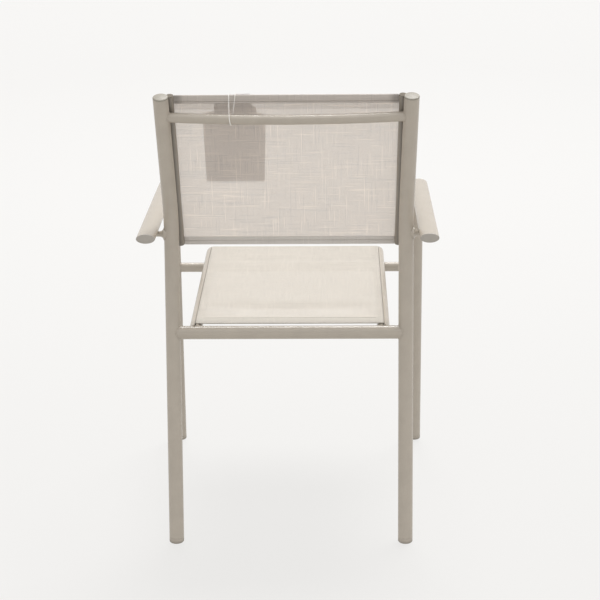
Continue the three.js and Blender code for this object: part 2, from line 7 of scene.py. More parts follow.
import logging
import math
from dataclasses import dataclass, field
from enum import Enum
from typing import Callable, Iterable, Protocol, Sequence

import bmesh
import bpy
from mathutils import Matrix, Vector

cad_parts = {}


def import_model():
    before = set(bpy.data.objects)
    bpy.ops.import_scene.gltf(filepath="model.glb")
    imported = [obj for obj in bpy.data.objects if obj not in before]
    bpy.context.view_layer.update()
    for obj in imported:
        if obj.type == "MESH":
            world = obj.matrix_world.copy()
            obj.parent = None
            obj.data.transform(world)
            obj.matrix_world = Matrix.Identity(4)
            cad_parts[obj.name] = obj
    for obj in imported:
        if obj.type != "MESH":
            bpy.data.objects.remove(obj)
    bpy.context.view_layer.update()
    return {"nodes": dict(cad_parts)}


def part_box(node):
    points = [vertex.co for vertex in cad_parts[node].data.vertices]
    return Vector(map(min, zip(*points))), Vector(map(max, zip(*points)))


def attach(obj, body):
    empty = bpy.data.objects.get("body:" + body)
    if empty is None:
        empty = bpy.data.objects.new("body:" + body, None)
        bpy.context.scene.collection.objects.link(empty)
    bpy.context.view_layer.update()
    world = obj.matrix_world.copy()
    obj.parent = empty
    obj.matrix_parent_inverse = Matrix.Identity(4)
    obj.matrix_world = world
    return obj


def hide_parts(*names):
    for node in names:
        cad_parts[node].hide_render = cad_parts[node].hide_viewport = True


LOG = logging.getLogger("sling_chair")
BODY = "root"
# Name of the point attribute that carries painted shade on the back rails.
PAINTED_SHADE_ATTRIBUTE = "recess"
X_AXIS = Vector((1, 0, 0))
Y_AXIS = Vector((0, 1, 0))
Z_AXIS = Vector((0, 0, 1))

# Degrees from which an edge stays sharp: on hard pieces, and on soft or bent ones
SHARP_EDGE = 32
PLATE_EDGE = 40
SOFT_EDGE = 60

Loop = list[tuple[float, float]]
Colour = tuple[float, float, float, float]
Socket = bpy.types.NodeSocket
SocketValue = Socket | bpy.types.Material | Sequence[float] | float
Setting = str | int | float | bool


class Slot(Enum):
    """Material slots of the record."""

    FRAME = "frame_paint"
    CAP = "cap_plastic"
    FOOT = "foot_plastic"
    KEDER = "keder_plastic"
    SLING = "sling_mesh"
    TAG = "tag_card"
    STRING = "tag_cotton"


class Side(Enum):
    """The sitter's left and right, with the sign of x on each."""

    LEFT = 1
    RIGHT = -1

    @property
    def label(self) -> str:
        """The side's word in node names."""
        return self.name.lower()


# Lines and paths


@dataclass(frozen=True)
class Station:
    """One place on a path: its point, its direction, the share of the turns made and the distance run."""

    point: Vector
    tangent: Vector
    turn: float
    run: float


def rounded_path(corners: Sequence[Vector], radius: float, steps: int) -> list[Station]:
    """Run through corner points with every inner corner rounded.

    Args:
        corners: The corner points, ends included.
        radius: Bend radius of each inner corner.
        steps: Stations along each bend.

    Returns:
        The stations from the first corner to the last.
    """
    stations: list[Station] = []

    def push(point: Vector, tangent: Vector, turn: float) -> None:
        """Add a station and keep count of the distance.

        Args:
            point: The station's point.
            tangent: The path's direction there.
            turn: Share of the turns made.
        """
        run = 0.0
        if stations:
            run = stations[-1].run + (point - stations[-1].point).length
        stations.append(Station(point.copy(), tangent.normalized(), turn, run))

    push(corners[0], corners[1] - corners[0], 0)
    bends = len(corners) - 2
    for i in range(1, bends + 1):
        before = (corners[i] - corners[i - 1]).normalized()
        after = (corners[i + 1] - corners[i]).normalized()
        angle = before.angle(after)
        start = corners[i] - before * (radius * math.tan(angle / 2))
        inward = (after - before * math.cos(angle)).normalized()
        for k in range(steps + 1):
            phi = angle * k / steps
            point = start + before * (radius * math.sin(phi)) + inward * (radius * (1 - math.cos(phi)))
            push(point, before * math.cos(phi) + inward * math.sin(phi), (i - 1 + k / steps) / bends)
    push(corners[-1], corners[-1] - corners[-2], 1)
    return stations


def stretch(path: Sequence[Station], start: float, end: float, longest: float = math.inf) -> list[Station]:
    """Take the part of a path between two distances.

    Args:
        path: The whole path.
        start: Distance at which the part starts.
        end: Distance at which it ends.
        longest: Longest step between stations, so that straight runs get stations too.

    Returns:
        The stations of that part, its ends worked out in between.
    """
    near = 1e-5
    marks = [start, *(s.run for s in path if start + near < s.run < end - near), end]
    runs: list[float] = []
    for a, b in zip(marks, marks[1:]):
        count = max(1, math.ceil((b - a) / longest)) if longest < math.inf else 1
        runs.extend(a + (b - a) * k / count for k in range(count))
    runs.append(end)
    return [station_at(path, run) for run in runs]


def station_at(path: Sequence[Station], run: float) -> Station:
    """Find the station at a distance along a path.

    Args:
        path: The path.
        run: Distance from its start.

    Returns:
        The station, worked out between its neighbours.
    """
    i = 1
    while i < len(path) - 1 and path[i].run < run:
        i += 1
    a, b = path[i - 1], path[i]
    share = (run - a.run) / (b.run - a.run)
    tangent = a.tangent.lerp(b.tangent, share).normalized()
    return Station(a.point.lerp(b.point, share), tangent, a.turn + (b.turn - a.turn) * share, run)


def straight_path(start: Vector, end: Vector) -> list[Station]:
    """A path of two stations, from start to end."""
    return rounded_path([start, end], 0, 1)


def smooth_route(points: Sequence[Vector], per_span: int) -> list[Vector]:
    """Draw the centripetal Catmull-Rom curve through points, as the CAD source does.

    Args:
        points: The route's points.
        per_span: Steps between two points.

    Returns:
        Points close together along the curve.
    """
    ends = [points[0] * 2 - points[1], *points, points[-1] * 2 - points[-2]]
    drawn: list[Vector] = []
    for p0, p1, p2, p3 in zip(ends, ends[1:], ends[2:], ends[3:]):
        t1 = math.sqrt((p1 - p0).length)
        t2 = t1 + math.sqrt((p2 - p1).length)
        t3 = t2 + math.sqrt((p3 - p2).length)
        for k in range(per_span):
            t = t1 + (t2 - t1) * k / per_span
            a1 = p0.lerp(p1, t / t1)
            a2 = p1.lerp(p2, (t - t1) / (t2 - t1))
            a3 = p2.lerp(p3, (t - t2) / (t3 - t2))
            b1 = a1.lerp(a2, t / t2)
            b2 = a2.lerp(a3, (t - t1) / (t3 - t1))
            drawn.append(b1.lerp(b2, (t - t1) / (t2 - t1)))
    drawn.append(points[-1].copy())
    return drawn


# Sections


def oval(half_width: float, half_height: float, sides: int) -> Loop:
    """An ellipse as a loop of points, counter-clockwise."""
    angles = [2 * math.pi * i / sides for i in range(sides)]
    return [(half_width * math.cos(a), half_height * math.sin(a)) for a in angles]


def rounded_rectangle(left: float, right: float, low: float, high: float, radius: float, steps: int) -> Loop:
    """Draw a rectangle with round corners.

    Args:
        left: Lowest first coordinate.
        right: Highest first coordinate.
        low: Lowest second coordinate.
        high: Highest second coordinate.
        radius: Corner radius.
        steps: Steps round each corner.

    Returns:
        The loop, counter-clockwise.
    """
    centres = [
        (right - radius, high - radius, 0),
        (left + radius, high - radius, 1),
        (left + radius, low + radius, 2),
        (right - radius, low + radius, 3),
    ]
    loop: Loop = []
    for x, y, quarter in centres:
        for k in range(steps + 1):
            angle = math.pi / 2 * (quarter + k / steps)
            loop.append((x + radius * math.cos(angle), y + radius * math.sin(angle)))
    return loop


# Meshes


def crease(mesh: bpy.types.Mesh, degrees: float = SHARP_EDGE) -> None:
    """Shade a mesh smooth, and keep edges sharper than an angle."""
    mesh.polygons.foreach_set("use_smooth", [True] * len(mesh.polygons))
    mesh.set_sharp_from_angle(angle=math.radians(degrees))


def link_mesh(name: str, mesh: bpy.types.Mesh) -> bpy.types.Object:
    """Put a mesh into the scene as an object at the origin.

    Args:
        name: The piece's name.
        mesh: Its mesh.

    Returns:
        The object.
    """
    piece = bpy.data.objects.new(name, mesh)
    bpy.context.scene.collection.objects.link(piece)
    return piece


def object_from_bmesh(
    name: str, shape: bmesh.types.BMesh, degrees: float = SHARP_EDGE
) -> bpy.types.Object:
    """Turn a bmesh into a shaded object.

    Args:
        name: The piece's name.
        shape: The bmesh, freed here.
        degrees: Angle from which an edge stays sharp.

    Returns:
        The new object.
    """
    mesh = bpy.data.meshes.new(name)
    shape.to_mesh(mesh)
    shape.free()
    crease(mesh, degrees)
    return link_mesh(name, mesh)


def sweep(
    name: str,
    stations: Sequence[Station],
    side: Vector,
    section_at: Callable[[Station], list[Loop]],
) -> bpy.types.Object:
    """Sweep a section along a path into a closed solid.

    Args:
        name: The piece's name.
        stations: The path.
        side: Direction that the section's first axis keeps to.
        section_at: Gives the outer loop, and an inner loop for a hollow section, at a station.

    Returns:
        The solid, with flat or ring-shaped ends.
    """
    shape = bmesh.new()
    rings: list[list[list[bmesh.types.BMVert]]] = []
    for station in stations:
        across = (side - station.tangent * side.dot(station.tangent)).normalized()
        lift = station.tangent.cross(across)
        ring = [
            [shape.verts.new(station.point + across * u + lift * v) for u, v in loop]
            for loop in section_at(station)
        ]
        rings.append(ring)
    for a, b in zip(rings, rings[1:]):
        for index, (near, far) in enumerate(zip(a, b)):
            for k in range(len(near)):
                m = (k + 1) % len(near)
                quad = [near[k], near[m], far[m], far[k]]
                shape.faces.new(quad if index == 0 else quad[::-1])
    for ring, facing_back in ((rings[0], True), (rings[-1], False)):
        close_end(shape, ring, facing_back)
    return object_from_bmesh(name, shape)


def close_end(shape: bmesh.types.BMesh, ring: list[list[bmesh.types.BMVert]], facing_back: bool) -> None:
    """Close the end of a swept solid.

    Args:
        shape: The bmesh.
        ring: The end's loops, the outer one first.
        facing_back: True for the first end, whose face looks back along the path.
    """
    if len(ring) == 1:
        shape.faces.new(ring[0][::-1] if facing_back else ring[0])
        return
    outer, inner = ring
    for k in range(len(outer)):
        m = (k + 1) % len(outer)
        quad = [outer[k], outer[m], inner[m], inner[k]]
        shape.faces.new(quad[::-1] if facing_back else quad)


def grid_sheet(name: str, rows: Sequence[Sequence[Vector]], uvs: Sequence[Loop]) -> bpy.types.Object:
    """Make an open sheet of quads with a UV map in metres.

    Args:
        name: The piece's name.
        rows: Points of the sheet, row by row.
        uvs: UV coordinates of the same points.

    Returns:
        The sheet.
    """
    shape = bmesh.new()
    verts = [[shape.verts.new(p) for p in row] for row in rows]
    layer = shape.loops.layers.uv.new("cloth")
    for i in range(len(rows) - 1):
        for j in range(len(rows[i]) - 1):
            corners = [(i, j), (i, j + 1), (i + 1, j + 1), (i + 1, j)]
            face = shape.faces.new([verts[a][b] for a, b in corners])
            for loop, (a, b) in zip(face.loops, corners):
                loop[layer].uv = uvs[a][b]
    return object_from_bmesh(name, shape, SOFT_EDGE)


def turned(
    name: str, profile: Loop, foot: Vector, axis: Vector, oval_ratio: float = 1, sides: int = 64
) -> bpy.types.Object:
    """Turn a profile about an axis into a closed solid.

    Args:
        name: The piece's name.
        profile: Pairs of radius and height, from the axis and back to it.
        foot: The point at height 0.
        axis: Direction of the height.
        oval_ratio: Height of the turned section over its width.
        sides: Steps round the axis.

    Returns:
        The solid.
    """
    shape = bmesh.new()
    across = (X_AXIS - axis * X_AXIS.dot(axis)).normalized()
    lift = axis.cross(across)
    place = Matrix((across, lift, axis)).transposed()
    on_axis = 1e-7
    rings: list[list[bmesh.types.BMVert]] = []
    for radius, height in profile:
        if radius < on_axis:
            rings.append([shape.verts.new(foot + place @ Vector((0, 0, height)))])
            continue
        loop = oval(radius, radius * oval_ratio, sides)
        rings.append([shape.verts.new(foot + place @ Vector((u, v, height))) for u, v in loop])
    for a, b in zip(rings, rings[1:]):
        for k in range(sides):
            m = (k + 1) % sides
            corners = [a[k % len(a)], a[m % len(a)], b[m % len(b)], b[k % len(b)]]
            shape.faces.new(list(dict.fromkeys(corners)))
    bmesh.ops.recalc_face_normals(shape, faces=shape.faces)
    return object_from_bmesh(name, shape)


def merged_copy(name: str, node: bpy.types.Object, degrees: float = SHARP_EDGE) -> bpy.types.Object:
    """Copy a CAD node with its loose triangles joined and shaded smooth.

    Args:
        name: The copy's name.
        node: The CAD node.
        degrees: Angle from which an edge stays sharp.

    Returns:
        The copy.
    """
    same_place, flat = 2e-6, math.radians(0.5)
    shape = bmesh.new()
    shape.from_mesh(node.data)
    bmesh.ops.remove_doubles(shape, verts=shape.verts, dist=same_place)
    bmesh.ops.dissolve_limit(shape, angle_limit=flat, verts=shape.verts, edges=shape.edges)
    return object_from_bmesh(name, shape, degrees)


def plain_mesh(piece: bpy.types.Object) -> bpy.types.Object:
    """Apply a piece's modifiers into a plain mesh.

    Args:
        piece: The object, whose modifiers are removed.

    Returns:
        The same object.
    """
    bpy.context.view_layer.update()
    graph = bpy.context.evaluated_depsgraph_get()
    done = bpy.data.meshes.new_from_object(piece.evaluated_get(graph), depsgraph=graph)
    piece.modifiers.clear()
    old = piece.data
    piece.data = done
    bpy.data.meshes.remove(old)
    return piece


def thicken(sheet: bpy.types.Object, thickness: float) -> None:
    """Turn an open sheet into a closed one, half its thickness to each side.

    Args:
        sheet: The sheet, changed in place.
        thickness: Its thickness afterwards.
    """
    solid = sheet.modifiers.new("thickness", "SOLIDIFY")
    solid.thickness = thickness
    solid.offset = 0
    plain_mesh(sheet)


def line_object(name: str, points: Sequence[Vector], closed: bool) -> bpy.types.Object:
    """Make an object of one chain of edges, for a node tree to follow.

    Args:
        name: The object's name.
        points: The chain's points.
        closed: True where the last point joins the first.

    Returns:
        The object.
    """
    mesh = bpy.data.meshes.new(name)
    edges = [(i, i + 1) for i in range(len(points) - 1)]
    if closed:
        edges.append((len(points) - 1, 0))
    mesh.from_pydata([tuple(p) for p in points], edges, [])
    return link_mesh(name, mesh)


def declare(
    piece: bpy.types.Object, material: bpy.types.Material, slot: Slot, stands_for: Iterable[str] = ()
) -> None:
    """Dress a finished piece and tell the frame about it.

    Args:
        piece: The finished object.
        material: Its finish.
        slot: The record's slot of that finish.
        stands_for: CAD nodes that it replaces.
    """
    piece.data.materials.clear()
    piece.data.materials.append(material)
    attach(piece, BODY)
    names = list(stands_for)
    if names:
        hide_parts(*names)
    LOG.info("%s: %d faces, slot %s", piece.name, len(piece.data.polygons), slot.value)


# Plan


@dataclass(frozen=True)
class Plan:
    """Driving sizes that this script shares with the CAD source, and the lines that follow from them."""

    shift_y: float
    fit: float = 0.0003
    tube: float = 0.028
    wall: float = 0.002
    foot_height: float = 0.008
    foot_spread: float = 0.2195
    top_spread: float = 0.2245
    post_foot_y: float = 0.277
    post_bend_y: float = 0.178
    post_top_y: float = 0.253
    post_bend_z: float = 0.615
    post_top_z: float = 0.86
    post_bend_radius: float = 0.18
    post_cap_reach: float = 0.0038
    arm_width: float = 0.035
    arm_height: float = 0.0175
    arm_gap: float = 0.008
    arm_front_y: float = -0.248
    arm_rear_y: float = 0.266
    arm_level: float = 0.6
    arm_bend_radius: float = 0.098
    rear_bar: float = 0.0254
    rear_bar_z: float = 0.4015
    front_bar: float = 0.02
    front_bar_z: float = 0.395
    top_rail: float = 0.018
    top_rail_below_sling: float = 0.035
    top_rail_bow: float = 0.012
    seat_rail: float = 0.024
    seat_rail_gap: float = 0.0155
    seat_rail_over_bar: float = 0.0011
    seat_bend_lead: float = 0.004
    seat_bend_radius: float = 0.036
    seat_drop_length: float = 0.007
    seat_drop_share: float = 0.89
    saddle: float = 0.015
    saddle_height: float = 0.0076
    back_rail: float = 0.014
    back_rail_low_inset: float = 0.0125
    back_rail_top_inset: float = 0.015
    back_rail_below: float = 0.067
    back_rail_setback: float = 0.0072
    cloth: float = 0.0012

    @property
    def post_radius(self) -> float:
        """Outer radius of posts and legs."""
        return self.tube / 2

    @property
    def arm_spread(self) -> float:
        """Distance of the arms' middle lines from the chair's."""
        return self.foot_spread + self.post_radius + self.arm_gap + self.arm_width / 2

    @property
    def seat_spread(self) -> float:
        """Distance of the seat rails' middle lines from the chair's."""
        return self.foot_spread - self.post_radius - self.seat_rail_gap - self.seat_rail / 2

    @property
    def back_up(self) -> Vector:
        """Direction up the leaning part of the posts, seen from the side."""
        rise = Vector((0, self.post_top_y - self.post_bend_y, self.post_top_z - self.post_bend_z))
        return rise.normalized()

    @property
    def back_rear(self) -> Vector:
        """Direction out of the back, to the rear."""
        return Vector((0, self.back_up.z, -self.back_up.y))

    @property
    def back_length(self) -> float:
        """Length of the leaning part of the posts, seen from the side."""
        return math.hypot(self.post_top_y - self.post_bend_y, self.post_top_z - self.post_bend_z)

    @property
    def rail_top(self) -> float:
        """How far up the back its rails and its sling end."""
        return self.back_length - self.back_rail_setback

    def post_path(self, side: Side) -> list[Station]:
        """Draw the centre line of a rear post, from the foot to the cap.

        Args:
            side: The post's side.

        Returns:
            The line's stations.
        """
        x = side.value
        corners = [
            Vector((x * self.foot_spread, self.post_foot_y + self.shift_y, 0)),
            Vector((x * self.foot_spread, self.post_bend_y + self.shift_y, self.post_bend_z)),
            Vector((x * self.top_spread, self.post_top_y + self.shift_y, self.post_top_z)),
        ]
        path = rounded_path(corners, self.post_bend_radius, 24)
        return stretch(path, self.foot_height, path[-1].run - self.post_cap_reach)

    def post_at(self, side: Side, z: float) -> Station:
        """Find the station of a rear post at a height.

        Args:
            side: The post's side.
            z: The height over the floor.

        Returns:
            The station.
        """
        path = self.post_path(side)
        below = max(i for i, s in enumerate(path) if s.point.z <= z)
        a, b = path[below], path[below + 1]
        share = (z - a.point.z) / (b.point.z - a.point.z)
        return station_at(path, a.run + (b.run - a.run) * share)

    def arm_path(self, side: Side) -> list[Station]:
        """Draw the centre line of a front leg and its arm.

        Args:
            side: The arm's side.

        Returns:
            The line's stations, from the foot to the arm's rear end.
        """
        x = side.value * self.arm_spread
        corners = [
            Vector((x, self.arm_front_y + self.shift_y, self.foot_height)),
            Vector((x, self.arm_front_y + self.shift_y, self.arm_level)),
            Vector((x, self.arm_rear_y + self.shift_y, self.arm_level)),
        ]
        return rounded_path(corners, self.arm_bend_radius, 40)

    def arm_halves(self, turn: float) -> tuple[float, float]:
        """Size the arm tube, round in the leg and oval after the bend.

        Args:
            turn: Share of the bend that lies behind.

        Returns:
            Half the width and half the height.
        """
        eased = turn * turn * (3 - 2 * turn)
        round_half = self.post_radius
        return (
            round_half + (self.arm_width / 2 - round_half) * eased,
            round_half + (self.arm_height / 2 - round_half) * eased,
        )

    def back_point(self, x: float, along: float, rear: float) -> Vector:
        """Point by the back: across, up it from the bend, and behind the posts' middle plane."""
        foot = Vector((x, self.post_bend_y + self.shift_y, self.post_bend_z))
        return foot + self.back_up * along + self.back_rear * rear

    def rail_forward(self, along: float) -> float:
        """Find how far the back rails' and the sling's plane lies in front of the posts' middle plane.

        Args:
            along: Height up the back from the bend.

        Returns:
            The distance.
        """
        reach = (self.tube + self.back_rail) / 2 + self.fit
        low = math.sqrt(reach**2 - self.back_rail_low_inset**2)
        top = math.sqrt(reach**2 - self.back_rail_top_inset**2)
        return low + (top - low) * along / self.back_length

    def rail_spread(self, along: float) -> float:
        """Find the distance of the back rails' middle lines from the chair's.

        Args:
            along: Height up the back from the bend.

        Returns:
            The distance.
        """
        low = self.foot_spread - self.back_rail_low_inset
        top = self.top_spread - self.back_rail_top_inset
        return low + (top - low) * along / self.back_length

    def sling_point(self, x: float, along: float, rear: float) -> Vector:
        """Point by the back sling: across, up the back from the bend, and behind the sling's plane."""
        return self.back_point(x, along, rear - self.rail_forward(along))

    def rear_bar_point(self, x: float) -> Vector:
        """Point on the middle line of the rear seat bar."""
        middle = self.post_at(Side.LEFT, self.rear_bar_z).point
        return Vector((x, middle.y, self.rear_bar_z))

    def front_bar_point(self, x: float) -> Vector:
        """Point on the middle line of the front seat bar."""
        return Vector((x, self.arm_front_y + self.shift_y, self.front_bar_z))

    def seat_path(self, x: float) -> list[Station]:
        """Draw the middle line of a seat rail: up to the front bar, then round and down.

        Args:
            x: The rail's place across the chair.

        Returns:
            The line's stations.
        """
        rear = self.rear_bar_point(x) + Z_AXIS * self.seat_rail_over_bar
        over = (self.front_bar + self.seat_rail) / 2 + self.saddle_height
        front = self.front_bar_point(x) + Z_AXIS * over
        climb = (front - rear).normalized()
        angle = self.seat_drop_share * math.pi / 2
        setback = self.seat_bend_radius * math.tan(angle / 2)
        corner = front + climb * (self.seat_bend_lead + setback)
        down = Matrix.Rotation(angle, 3, "X") @ climb
        end = corner + down * (setback + self.seat_drop_length)
        return rounded_path([rear, corner, end], self.seat_bend_radius, 20)

    def top_rail_half(self) -> float:
        """Half length of the top rail, to the middle of the posts."""
        along = self.rail_top - self.top_rail_below_sling
        return self.foot_spread + (self.top_spread - self.foot_spread) * along / self.back_length

    def top_rail_station(self, share: float) -> Station:
        """Find a station of the bowed top rail.

        Args:
            share: Its place, from -1 to 1 of the half length.

        Returns:
            The station.
        """
        along = self.rail_top - self.top_rail_below_sling
        half = self.top_rail_half()
        radius = (half**2 + self.top_rail_bow**2) / (2 * self.top_rail_bow)
        phi = math.asin(half / radius) * share
        rear = radius * math.cos(phi) - (radius - self.top_rail_bow)
        tangent = X_AXIS * math.cos(phi) - self.back_rear * math.sin(phi)
        return Station(self.back_point(radius * math.sin(phi), along, rear), tangent, 0, half * share)


def plan_from_frame() -> Plan:
    """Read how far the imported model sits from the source's own y axis, and make the plan."""
    low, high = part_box("front_seat_bar")
    return Plan(shift_y=(low.y + high.y) / 2 - Plan.arm_front_y)


# Finishes


class TreeBuilder:
    """A node tree, built node by node."""

    prefix: str = ""

    def __init__(self, tree: bpy.types.NodeTree) -> None:
        """Keep the tree to build."""
        self.tree = tree

    def node(
        self, kind: str, inputs: dict[str | int, SocketValue] | None = None, **settings: Setting
    ) -> bpy.types.Node:
        """Add a node.

        Args:
            kind: Its type, without the prefix that the tree's nodes share.
            inputs: Values or output sockets for its inputs, by name or number.
            settings: Its other settings.

        Returns:
            The node.
        """
        made = self.tree.nodes.new(self.prefix + kind)
        for name, value in settings.items():
            setattr(made, name, value)
        for key, value in (inputs or {}).items():
            self.feed(made.inputs[key], value)
        return made

    def feed(self, socket: Socket, value: SocketValue) -> None:
        """Link an output socket to an input, or set the input's value.

        Args:
            socket: The input.
            value: The output socket or the value.
        """
        if isinstance(value, bpy.types.NodeSocket):
            self.tree.links.new(value, socket)
        else:
            socket.default_value = value

    def math(self, operation: str, *values: SocketValue) -> Socket:
        """Work out a sum.

        Args:
            operation: The kind of sum.
            values: Its numbers and sockets, in order.

        Returns:
            The result's socket.
        """
        made = self.tree.nodes.new("ShaderNodeMath")
        made.operation = operation
        for socket, value in zip(made.inputs, values):
            self.feed(socket, value)
        return made.outputs[0]


class Shader(TreeBuilder):
    """A material's node tree."""

    prefix: str = "ShaderNode"

    def __init__(self, name: str) -> None:
        """Start an empty material.

        Args:
            name: The material's name.
        """
        self.material = bpy.data.materials.new(name)
        self.material.use_nodes = True
        super().__init__(self.material.node_tree)
        self.tree.nodes.clear()
        self.output = self.tree.nodes.new("ShaderNodeOutputMaterial")

    def ranged(self, value: Socket, low: float, high: float, to_low: float, to_high: float) -> Socket:
        """Carry a value from one range to another, clamped."""
        inputs = {"Value": value, "From Min": low, "From Max": high, "To Min": to_low, "To Max": to_high}
        return self.node("MapRange", inputs).outputs["Result"]

    def spread(self, noise: Socket, low: float, high: float) -> Socket:
        """Carry a noise, which lies mostly between 0.3 and 0.7, to another range."""
        return self.ranged(noise, 0.3, 0.7, low, high)

    def noise(self, place: Socket, scale: float, detail: float = 2.0) -> Socket:
        """Lay a soft noise over the piece."""
        return self.node("TexNoise", {"Vector": place, "Scale": scale, "Detail": detail}).outputs["Fac"]

    def shaded_colour(self, colour: Colour, factor: Socket) -> Socket:
        """Multiply a colour by a number."""
        scaled = self.node("VectorMath", {0: colour[:3], "Scale": factor}, operation="SCALE")
        return scaled.outputs[0]

    def bump(self, height: Socket, distance: float, strength: float) -> Socket:
        """Turn a height into the normal of a surface with that relief."""
        made = self.node("Bump", {"Height": height, "Distance": distance, "Strength": strength})
        return made.outputs["Normal"]

    def mixed(self, share: SocketValue, first: Socket, second: Socket) -> Socket:
        """Mix two shaders."""
        return self.node("MixShader", {0: share, 1: first, 2: second}).outputs[0]

    def object_point(self) -> Socket:
        """The place on the piece, in metres."""
        return self.node("TexCoord").outputs["Object"]

    def finish(self, shader: Socket) -> bpy.types.Material:
        """Send a shader to the output and give the material back."""
        self.tree.links.new(shader, self.output.inputs["Surface"])
        return self.material


def linear(red: int, green: int, blue: int) -> Colour:
    """Turn a colour as a screen shows it into Blender's linear values.

    Args:
        red: Its red, from 0 to 255.
        green: Its green.
        blue: Its blue.

    Returns:
        The colour, opaque.
    """
    values = []
    for part in (red, green, blue):
        share = part / 255
        values.append(share / 12.92 if share <= 0.04045 else ((share + 0.055) / 1.055) ** 2.4)
    return (*values, 1.0)


class Look(Protocol):
    """A finish that can make its material."""

    def build(self) -> bpy.types.Material:
        """Make the material."""


@dataclass(frozen=True)
class PowderCoat:
    """Satin powder paint on aluminium: a fine orange peel, faint clouding and a soft gloss."""

    name: str = "taupe_powder_coat"
    colour: Colour = linear(173, 164, 151)
    clouding: float = 0.035
    cloud_scale: float = 38
    peel_scale: float = 1500
    peel_height: float = 0.00006
    peel_strength: float = 0.5
    roughness: float = 0.25
    roughness_spread: float = 0.05
    specular: float = 0.45
    # How far painted shade darkens the paint at most, where the mesh's attribute is full.
    painted_shade_depth: float = 0.0

    def build(self) -> bpy.types.Material:
        """Make the material.

        Returns:
            The material, with painted shade where the finish asks for it: darker by the shade attribute that
            the mesh carries.
        """
        s = Shader(self.name)
        point = s.object_point()
        clouds = s.noise(point, self.cloud_scale, 3.0)
        grain = s.noise(point, self.peel_scale)
        shade = s.spread(clouds, 1 - self.clouding, 1 + self.clouding)
        # Painted shade: darker where the mesh's attribute marks points close to a post.
        if self.painted_shade_depth:
            recess = s.node("Attribute", attribute_name=PAINTED_SHADE_ATTRIBUTE).outputs["Fac"]
            shade = s.math("MULTIPLY", shade, s.ranged(recess, 0, 1, 1, 1 - self.painted_shade_depth))
        smooth, dull = self.roughness - self.roughness_spread, self.roughness + self.roughness_spread
        inputs = {
            "Base Color": s.shaded_colour(self.colour, shade),
            "Roughness": s.spread(grain, smooth, dull),
            "Normal": s.bump(grain, self.peel_height, self.peel_strength),
            "Specular IOR Level": self.specular,
        }
        return s.finish(s.node("BsdfPrincipled", inputs).outputs[0])


@dataclass(frozen=True)
class MouldedPlastic:
    """Moulded nylon with a fine spark-eroded grain."""

    name: str
    colour: Colour
    roughness: float = 0.5
    smoother: float = 0.05
    rougher: float = 0.06
    grain_scale: float = 2200
    grain_height: float = 0.00005
    grain_strength: float = 0.4
    mottle: float = 0.04
    mottle_scale: float = 120
    # Painted shade towards the floor: how much darker, and over what height.
    painted_floor_shade: float = 0.0
    painted_floor_shade_height: float = 0.007

    def build(self) -> bpy.types.Material:
        """Make the material.

        Returns:
            The material, darker towards the floor where the finish is scuffed.
        """
        s = Shader(self.name)
        point = s.object_point()
        grain = s.node("TexVoronoi", {"Vector": point, "Scale": self.grain_scale}).outputs["Distance"]
        mottle = s.noise(point, self.mottle_scale, 4.0)
        smooth, dull = self.roughness - self.smoother, self.roughness + self.rougher
        shade = s.spread(mottle, 1 - self.mottle, 1 + self.mottle)
        # Painted shade: the plastic darkens over its lowest millimetres, standing in for contact shade at the
        # floor.
        if self.painted_floor_shade:
            height = s.node("SeparateXYZ", {0: point}).outputs[2]
            shade = s.math("MULTIPLY", shade, s.ranged(height, 0, self.painted_floor_shade_height, 1 - self.painted_floor_shade, 1))
        inputs = {
            "Base Color": s.shaded_colour(self.colour, shade),
            "Roughness": s.spread(mottle, smooth, dull),
            "Normal": s.bump(grain, self.grain_height, self.grain_strength),
        }
        return s.finish(s.node("BsdfPrincipled", inputs).outputs[0])


